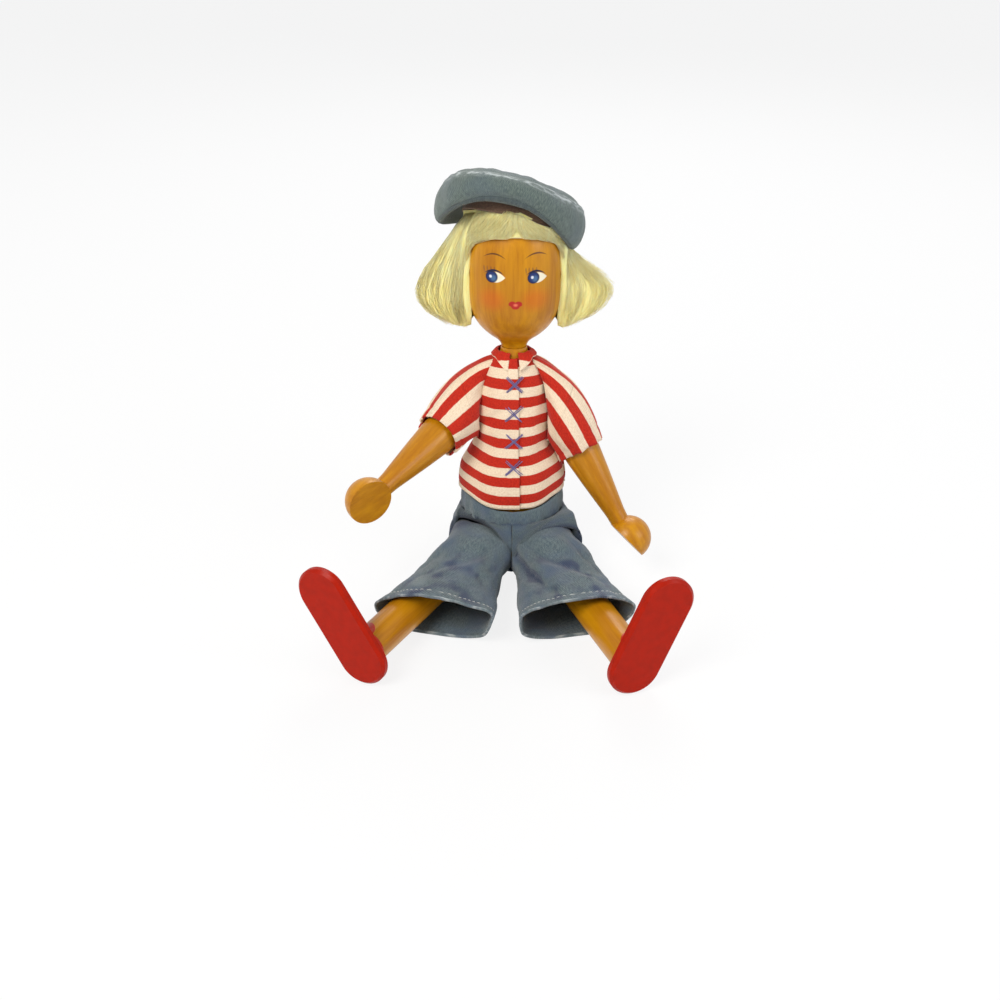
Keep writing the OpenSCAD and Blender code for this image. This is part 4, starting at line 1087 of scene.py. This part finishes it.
sleeve_stripes = striped("sleeve_stripes", STRIPE, 0)
for word, s in SIDES.items():
    upper = sleeve_part("sleeve_upper_" + word, s, 0, SLEEVE_SPLIT, 26, sleeve_stripes)
    lower = sleeve_part("sleeve_lower_" + word, s, SLEEVE_SPLIT, 1, 26, sleeve_stripes)
    ring = [torso_frame @ sleeve_place(s, SLEEVE_SPLIT, 2 * math.pi * j / 24) * MM for j in range(24)]
    middle = sum(ring, Vector()) / 24
    way = sum(((ring[j] - middle).cross(ring[(j + 1) % 24] - middle) for j in range(24)), Vector())
    way.normalize()
    if way.dot(torso_frame.to_3x3() @ arm_way(s)) < 0:
        way = -way
    inner = torso_frame @ Vector((s * 8, 0, SHOULDER_S)) * MM
    outer = torso_frame @ Vector((s * 16, 0, SHOULDER_S)) * MM
    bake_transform(upper)
    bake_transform(lower)
    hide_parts("sleeve_" + word)


# Collar: one strip of the same jersey on each side of the front opening, folded over at the
# neck, with a pointed cream tip in front.
# Rows of (share of the collar's width, (radius as a share of the shirt's depth, height)).
COLLAR_SHARES = [(0, (0.31, 2.0)), (0.45, (0.375, 1.3)), (1, (0.435, -0.1))]
COLLAR_TURN = (3, 166)
COLLAR_ROWS, COLLAR_COLS = 12, 40
collar_stripes = striped("collar_stripes", STRIPE, 0.2)
for word, s in SIDES.items():
    points, uvs = [], []
    for i in range(COLLAR_ROWS):
        t = i / (COLLAR_ROWS - 1)
        share_r = between([(q, p[0]) for q, p in COLLAR_SHARES], t)
        rise = between([(q, p[1]) for q, p in COLLAR_SHARES], t)
        for j in range(COLLAR_COLS):
            k = j / (COLLAR_COLS - 1)
            a = math.radians(COLLAR_TURN[0] + (COLLAR_TURN[1] - COLLAR_TURN[0]) * k)
            tip = max(0, 4 * k - 3) * (share_r - COLLAR_SHARES[0][1][0]) / COLLAR_SHARES[0][1][0]
            r = SHIRT_D * (share_r + 0.11 * tip)
            z = NECKLINE_S + rise * SHIRT_T - tip * 9 + 0.12 * math.sin(9 * a + s)
            points.append(torso_frame @ Vector((s * r * math.sin(a), r * math.cos(a), z)))
            uvs.append((a * 7, (1.9 + 2.8 * max(0, 6 * k - 5)) * t))
    collar = thick_cloth(piece("collar_cloth_" + word, points,
                               grid_faces(COLLAR_ROWS, COLLAR_COLS, False), collar_stripes, uvs),
                         SHIRT_T * 0.75, torso_frame @ Vector((0, 0, 68)) * MM)
    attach(collar, "torso")
    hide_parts("collar_" + word)


# Front crosses: thick blue-violet thread sewn through both fronts, two slanted stitches of
# three strands each, which pull the cloth in a little.
CROSS_HALF_X, CROSS_HALF_S = 2.6, 2.35


def on_shirt_front(x, s, stand_off):
    """Place on the cloth of the shirt's front, a little way off it."""
    k = (s - HEM_S) / SHIRT_SPAN
    w = SHIRT_W * soft_table(W_SHARES, k)
    a = math.acos(max(-1, min(1, x / w)))
    p = shirt_place(k, a, 0)
    p += Vector((math.cos(a), -math.sin(a), 0)) * shirt_folds(p, k, a)
    return torso_frame @ (p + Vector((0, -stand_off, 0)))


thread, thread_tree, thread_shader = finish("violet_thread")
thread_place = own_place(thread_tree, torso_frame)
thread_twist = node(thread_tree, "TexWave", {"Vector": thread_place, "Scale": 1.6, "Distortion": 2},
                    bands_direction="DIAGONAL")
thread_tree.links.new(mix(thread_tree, thread_twist.outputs["Fac"], paint(84, 78, 138),
                          paint(126, 120, 172)), thread_shader.inputs["Base Color"])
thread_shader.inputs["Roughness"].default_value = 0.7
thread_shader.inputs["Sheen Weight"].default_value = 0.3
bumps(thread_tree, thread_shader, thread_twist.outputs["Fac"], 0.08)
sewing = random.Random(5)
cross_paths = []
for level in CROSS_LEVELS:
    middle_s = HEM_S + level * SHIRT_SPAN
    for way in (-1, 1):
        for strand in (-1, 0, 1):
            shift = 0.24 * strand + sewing.uniform(-0.14, 0.14)
            half = CROSS_HALF_X * sewing.uniform(0.85, 1.15)
            path = []
            for n in range(13):
                t = 2 * n / 12 - 1
                x = 0.2 + half * t + shift * 0.7
                s_here = middle_s - way * shift * 0.7
                s_here += way * CROSS_HALF_S * t * sewing.uniform(0.98, 1.02)
                lift = 0.32 * (1 - t ** 4) + (0.12 if way > 0 else 0) - 0.18
                path.append((on_shirt_front(x, s_here, lift), 0.13))
            cross_paths.append(path)
crosses = threads("cross_stitches", cross_paths, thread, 6)
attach(crosses, "torso")
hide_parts("front_stitches")


# Trousers: wide and short, cut from the same washed denim. A narrow band holds the waist, the
# seat is a bag that lies flat on the table, and each leg is a wide tube with a sewn hem.
WAIST_S, WAIST_BAND, WAIST_R, DENIM_T = 19.2, 4.4, 17.3, 0.9
SEAT_W, SEAT_D = 21, 15.5
LEG_HEM_W, LEG_HEM_H, LEG_HEM_Y, FLOOR_GAP = 18.4, 9.1, 48.4, 0.3
HEM_MIDDLE = {-1: 0.508, 1: 0.428}
SEAT_TOP = HIP_Z + (WAIST_S - WAIST_BAND - 0.3) / math.cos(LEAN)
SEAT_W_SHARES = [(0, 0.95), (0.3, 1.03), (0.65, 1), (1, 0.83)]
SEAT_D_SHARES = [(0, 0.95), (0.35, 1.05), (0.65, 1.05), (1, 1.07)]
LEG_TURNS, LEG_ROWS = 112, 56
HALF_TURNS, HALF_ROWS = 90, 34
WAIST_ROWS = 9
LEG_CUT, LEG_ROUND, HEM_SEAM = 38, 13, 2.6


def squared(c, e):
    """Cosine or sine bent so that a round section turns squarer."""
    return math.copysign(abs(c) ** e, c)


trouser_denim = denim("trouser_denim", [(0.2, 0.35)], 0.85)
points, uvs = [], []
for i in range(WAIST_ROWS):
    t = i / (WAIST_ROWS - 1)
    for j in range(CAP_TURNS):
        a = 2 * math.pi * j / CAP_TURNS
        pucker = 0.4 * noise.noise(Vector((5 * math.cos(a), 5 * math.sin(a), t)))
        pucker += 0.2 * math.sin(23 * a)
        r = WAIST_R + 0.3 * math.sin(math.pi * t) + pucker * (1.3 - t) - 0.3 * t
        points.append(torso_frame @ Vector((
            r * math.cos(a), r * math.sin(a),
            WAIST_S - WAIST_BAND - 0.2 + (WAIST_BAND + 0.2 + HEM_RISE * math.cos(a) ** 2) * t)))
        uvs.append((a * WAIST_R, WAIST_BAND * t + 40))
waist = thick_cloth(piece("waistband_cloth", points, grid_faces(WAIST_ROWS, CAP_TURNS, True),
                          trouser_denim, uvs, 2 * math.pi * WAIST_R), DENIM_T)
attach(waist, "torso")
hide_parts("waistband")


def seat_place(z, a):
    """Place on the bag of the seat at a height and an angle."""
    k = z / SEAT_TOP
    return Vector((SEAT_W * between(SEAT_W_SHARES, k) * squared(math.cos(a), 0.85),
                   HIP_Z * 0.16 + SEAT_D * between(SEAT_D_SHARES, k) * squared(math.sin(a), 0.9), z))


# Crease between the seat and each leg: from the front seam over the lap, round the hip and
# back under the seat.
HIP_CREASE = {-1: (
    (0.0, -20.8, 10.0), (1.7, -19.8, 16.0), (6.0, -13.8, 19.8), (12.8, -6.9, 20.2), (19.2, -0.6, 17.4),
    (21.6, 0.2, 11.0), (21.6, -0.8, 5.0), (17.5, -3.6, 0.9), (9.0, -6.2, 0.5), (0.0, -9.0, 0.5)), 1: (
    (0.0, -20.8, 10.0), (2.6, -20.4, 16.2), (9.6, -14.4, 20.0), (17.6, -10.8, 20.2), (23.4, -8.4, 17.0),
    (24.4, -7.0, 11.0), (23.4, -6.2, 5.0), (18.0, -5.6, 0.9), (9.0, -6.6, 0.5), (0.0, -9.0, 0.5))}
HIP_CREASE = {s: [Vector(p) for p in stops] for s, stops in HIP_CREASE.items()}
# How far the lap rolls up over the crease of each leg.
LAP_ROLL = {-1: 1.3, 1: 2.7}


def half_place(s, u, f):
    """Place on half of the seat: u from the waist to the crease of the leg, f from the front
    seam round the hip and under the seat to the same seam behind."""
    t = math.pi * f
    flat = Vector((17.5 * math.sin(t), 1.3 - 17.3 * math.cos(t), 0))
    waist_at = Vector((flat.x, flat.y, SEAT_TOP + 0.7 - flat.y * math.tan(LEAN)))
    crease = curved(HIP_CREASE[s], f)
    lap = waist_at.lerp(crease, u)
    rounding = math.sin(math.pi * min(1, u))
    lap += Vector((0.3 * math.sin(t), -0.45, 1.0)) * LAP_ROLL[s] * rounding * (0.3 + math.sin(t) ** 2)
    a = t - math.pi / 2
    stops = [waist_at]
    for z, out in ((15, 1.0), (7, 1.0), (2.2, 0.99), (0.35, 0.93)):
        p = seat_place(z, a)
        stops.append(Vector((abs(p.x) * out, (p.y - 1.2) * out + 1.2, z)))
    stops += [Vector((stops[-1].x * 0.8, min(stops[-1].y * 0.45, 4), 0.3)), crease]
    bag = curved(stops, u)
    p = lap.lerp(bag, ease((f - 0.40) / 0.22))
    ripple = noise.noise(Vector((p.x * 0.16 + 5 * s, p.y * 0.16, p.z * 0.2)))
    ripple += 0.5 * noise.noise(Vector((p.x * 0.34, p.y * 0.34 + 4 * s, p.z * 0.3)))
    away = (p - Vector((6, -4, 10))).normalized()
    gather = 0.25 * math.sin(26 * f * 3) * math.exp(-(u / 0.18) ** 2)
    p += away * (0.9 * ripple * rounding * min(1, p.z / 4) + gather * min(1, p.z / 4))
    return Vector((s * max(p.x, 0), p.y, max(p.z, 0.12)))


def leg_place(s, k, a):
    """Place on a trouser leg: k from the lap to the hem, a round it from the outer side."""
    root_c = Vector((s * SEAT_W * 0.572, -SEAT_D * 0.73, 0))
    hem_c = Vector((s * LEG_HEM_Y * HEM_MIDDLE[s], -LEG_HEM_Y, 0))
    root_w, hem_w = Vector((s * SEAT_W * 0.54, 0, 0)), Vector((s * LEG_HEM_W, LEG_HEM_W * 0.22, 0))
    root_h, hem_h = Vector((0, -SEAT_D * 0.42, LEG_HEM_H)), Vector((0, -LEG_HEM_H * 0.28, LEG_HEM_H))
    sag = 1 - 0.03 * math.sin(math.pi * max(0, k))
    way = hem_c - root_c
    c = root_c + Vector((way.x * max(k, 0), way.y * k, FLOOR_GAP + LEG_HEM_H * sag))
    fold = (1 + 0.035 * max(0, k) * math.sin(5 * a + 0.7)
            + 0.03 * math.sin(math.pi * k) * math.sin(3 * a + 5.24 * k))
    x = squared(math.cos(a), 0.75) * fold
    y = squared(math.sin(a), 0.75) * (fold if math.sin(a) > 0 else 1)
    return c + root_w.lerp(hem_w, k) * x + root_h.lerp(hem_h, k) * sag * y


def leg_start(a):
    """Where a trouser leg comes out of the crease, as a share of its length."""
    inward = (1 - math.cos(a)) / 2
    return -0.56 + 0.66 * inward ** 1.9


# How far the top of each trouser leg stands out at the hip.
HIP_PUFF = {-1: 1.2, 1: 2.4}


def leg_valley(s, k, a):
    """Depth of the long soft folds on top of a trouser leg, less the rise beside them."""
    degrees = math.degrees(a)
    deep = 0
    # Each fold runs from turn a0 at share k0 of the leg to turn a1 at share k1.
    for a0, a1, k0, k1, wide, most in (
            (150, 104, 0.12, 1.0, 12, 2.2 + 1.4 * s), (118, 45, 0.0, 0.9, 9, 0.9),
            (165, 150, 0.2, 0.9, 8, 0.7), (75, 20, -0.1, 0.6, 9, 0.9 + 0.3 * s)):
        line = a0 + (a1 - a0) * ease((k - k0) / (k1 - k0))
        off = (degrees - line) / wide
        held = math.sin(math.pi * min(1, max(0, k * 0.85 + 0.15)))
        deep += most * held * (math.exp(-off * off) - 0.4 * math.exp(-(off - 1.9) ** 2 / 1.3))
    return deep * max(0, math.sin(a))


def leg_cloth_place(s, t, a):
    """Place on the finished leg: its folds, sewn hem, full hip and tucked-in root."""
    k = leg_start(a) + (1 - leg_start(a)) * t
    p = leg_place(s, k, a)
    centre = leg_place(s, k, 0).lerp(leg_place(s, k, math.pi), 0.5)
    away = (p - centre).normalized()
    top = max(0, math.sin(a))
    ripple = noise.noise(Vector((p.x * 0.12, p.y * 0.12, 3 + 7 * s + 0.1 * p.z)))
    ripple += 0.5 * noise.noise(Vector((p.x * 0.3, p.y * 0.3, 9 * s)))
    hem = LEG_CUT * (1 - t)
    sewn = 0.28 * math.exp(-((hem - HEM_SEAM) / 0.35) ** 2) - 0.22 * ease(1 - (hem - 2.2) / 0.4)
    stand = 0.9 * ripple * ease(k * 3 + 0.4) - leg_valley(s, k, a)
    p = p + away * (min(1, p.z / 5) * stand - sewn - 0.1)
    puff = math.exp(-((k - 0.06) / 0.16) ** 2) * min(1, p.z / 8)
    outward = HIP_PUFF[s] * math.cos(a) ** 0.5 if math.cos(a) > 0 else -0.9
    p += Vector((s * outward * puff, 0, 0))
    p.x -= s * 1.5 * max(0, -math.cos(a)) * ease((0.3 - k) / 0.2)
    p.x = s * max(s * p.x, 0.25)
    p.z += 2.3 * top * ease((0.3 - k) / 0.3) - 3.0 * ease(1 - t * 8) * top
    return Vector((p.x, p.y, max(p.z, FLOOR_GAP)))


def leg_shade(s, t, a):
    """Painted shade and light for the colour of a trouser leg: painted shade in its folds and at the
    root, and painted shade over its top mottled with painted light.
    """
    k = leg_start(a) + (1 - leg_start(a)) * t
    fade = noise.noise(Vector((7 * k, 5 * math.cos(a), 5 * math.sin(a) + 3 * s)))
    rise = max(0, math.sin(a)) ** 2 * ease(k * 2)
    root = 1.1 * math.exp(-((k + 0.33) / 0.14) ** 2)
    return leg_valley(s, k, a) * 0.42 + root + (0.22 + 1.6 * fade) * rise


stitch_thread, stitch_tree, stitch_shader = finish("hem_thread")
stitch_place = own_place(stitch_tree, torso_frame)
stitch_noise = node(stitch_tree, "TexNoise", {"Vector": stitch_place, "Scale": 4.0, "Detail": 2})
stitch_tree.links.new(mix(stitch_tree, stitch_noise.outputs[0], paint(176, 182, 182),
                          paint(214, 214, 206)), stitch_shader.inputs["Base Color"])
stitch_shader.inputs["Roughness"].default_value = 0.75
bumps(stitch_tree, stitch_shader, stitch_noise.outputs[0], 0.05)
HEM_STITCHES, STITCH_SHARE, STITCH_R = 60, 0.62, 0.14


def seat_half(word, s):
    """Half of the seat, gathered under the waistband and drawn in to the crease of the leg."""
    points, uvs, shades = [], [], []
    for i in range(HALF_ROWS):
        u = i / (HALF_ROWS - 1)
        for j in range(HALF_TURNS):
            f = j / (HALF_TURNS - 1)
            p = half_place(s, u, f)
            if i == HALF_ROWS - 1:
                p += Vector((0, 0.5, -0.9)) * min(1, p.z / 6)
            points.append(p)
            # Painted shade under the waistband and in the crease of the leg, and painted light over the
            # middle of the seat towards the hip.
            shades.append(0.9 * math.exp(-((1 - u) / 0.16) ** 2) + 0.7 * math.exp(-(u / 0.1) ** 2)
                          - 0.5 * math.sin(math.pi * u) * max(0, math.sin(math.pi * f)))
            uvs.append((f * 60 + 31 * s, u * 24 + 9))
    half = thick_cloth(piece("trouser_seat_cloth_" + word, points,
                             grid_faces(HALF_ROWS, HALF_TURNS, False), trouser_denim, uvs,
                             None, shades), DENIM_T * 0.85)
    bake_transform(half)
    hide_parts("trouser_seat")
    return half


def hem_run(s, n):
    """One stitch of the hem, which dips into the cloth at both ends."""
    t = 1 - HEM_SEAM / LEG_CUT
    centre = leg_place(s, 1, 0).lerp(leg_place(s, 1, math.pi), 0.5)
    run = []
    for q in range(4):
        p = leg_cloth_place(s, t, 2 * math.pi * (n + STITCH_SHARE * q / 3) / HEM_STITCHES)
        run.append((p + (p - centre).normalized() * (0.16 if q in (1, 2) else -0.05), STITCH_R))
    return run


def trouser_leg(word, s):
    """Wide tube of one trouser leg, and the row of stitches that holds its hem."""
    points, uvs, shades = [], [], []
    for i in range(LEG_ROWS):
        t = i / (LEG_ROWS - 1)
        for j in range(LEG_TURNS):
            a = 2 * math.pi * j / LEG_TURNS
            points.append(leg_cloth_place(s, t, a))
            shades.append(leg_shade(s, t, a))
            uvs.append((a * LEG_ROUND, (1 - t) * LEG_CUT))
    leg_tube = thick_cloth(piece("trouser_leg_cloth_" + word, points,
                                 grid_faces(LEG_ROWS, LEG_TURNS, True), trouser_denim, uvs,
                                 2 * math.pi * LEG_ROUND, shades), DENIM_T * 0.85)
    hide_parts("trouser_leg_" + word)
    hem_thread = threads("hem_stitches_" + word, [hem_run(s, n) for n in range(HEM_STITCHES)],
                         stitch_thread, 5)
    for made in (leg_tube, hem_thread):
        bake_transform(made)
    return leg_tube, hem_thread


for word, s in SIDES.items():
    half = seat_half(word, s)
    for made in (half, *trouser_leg(word, s)):
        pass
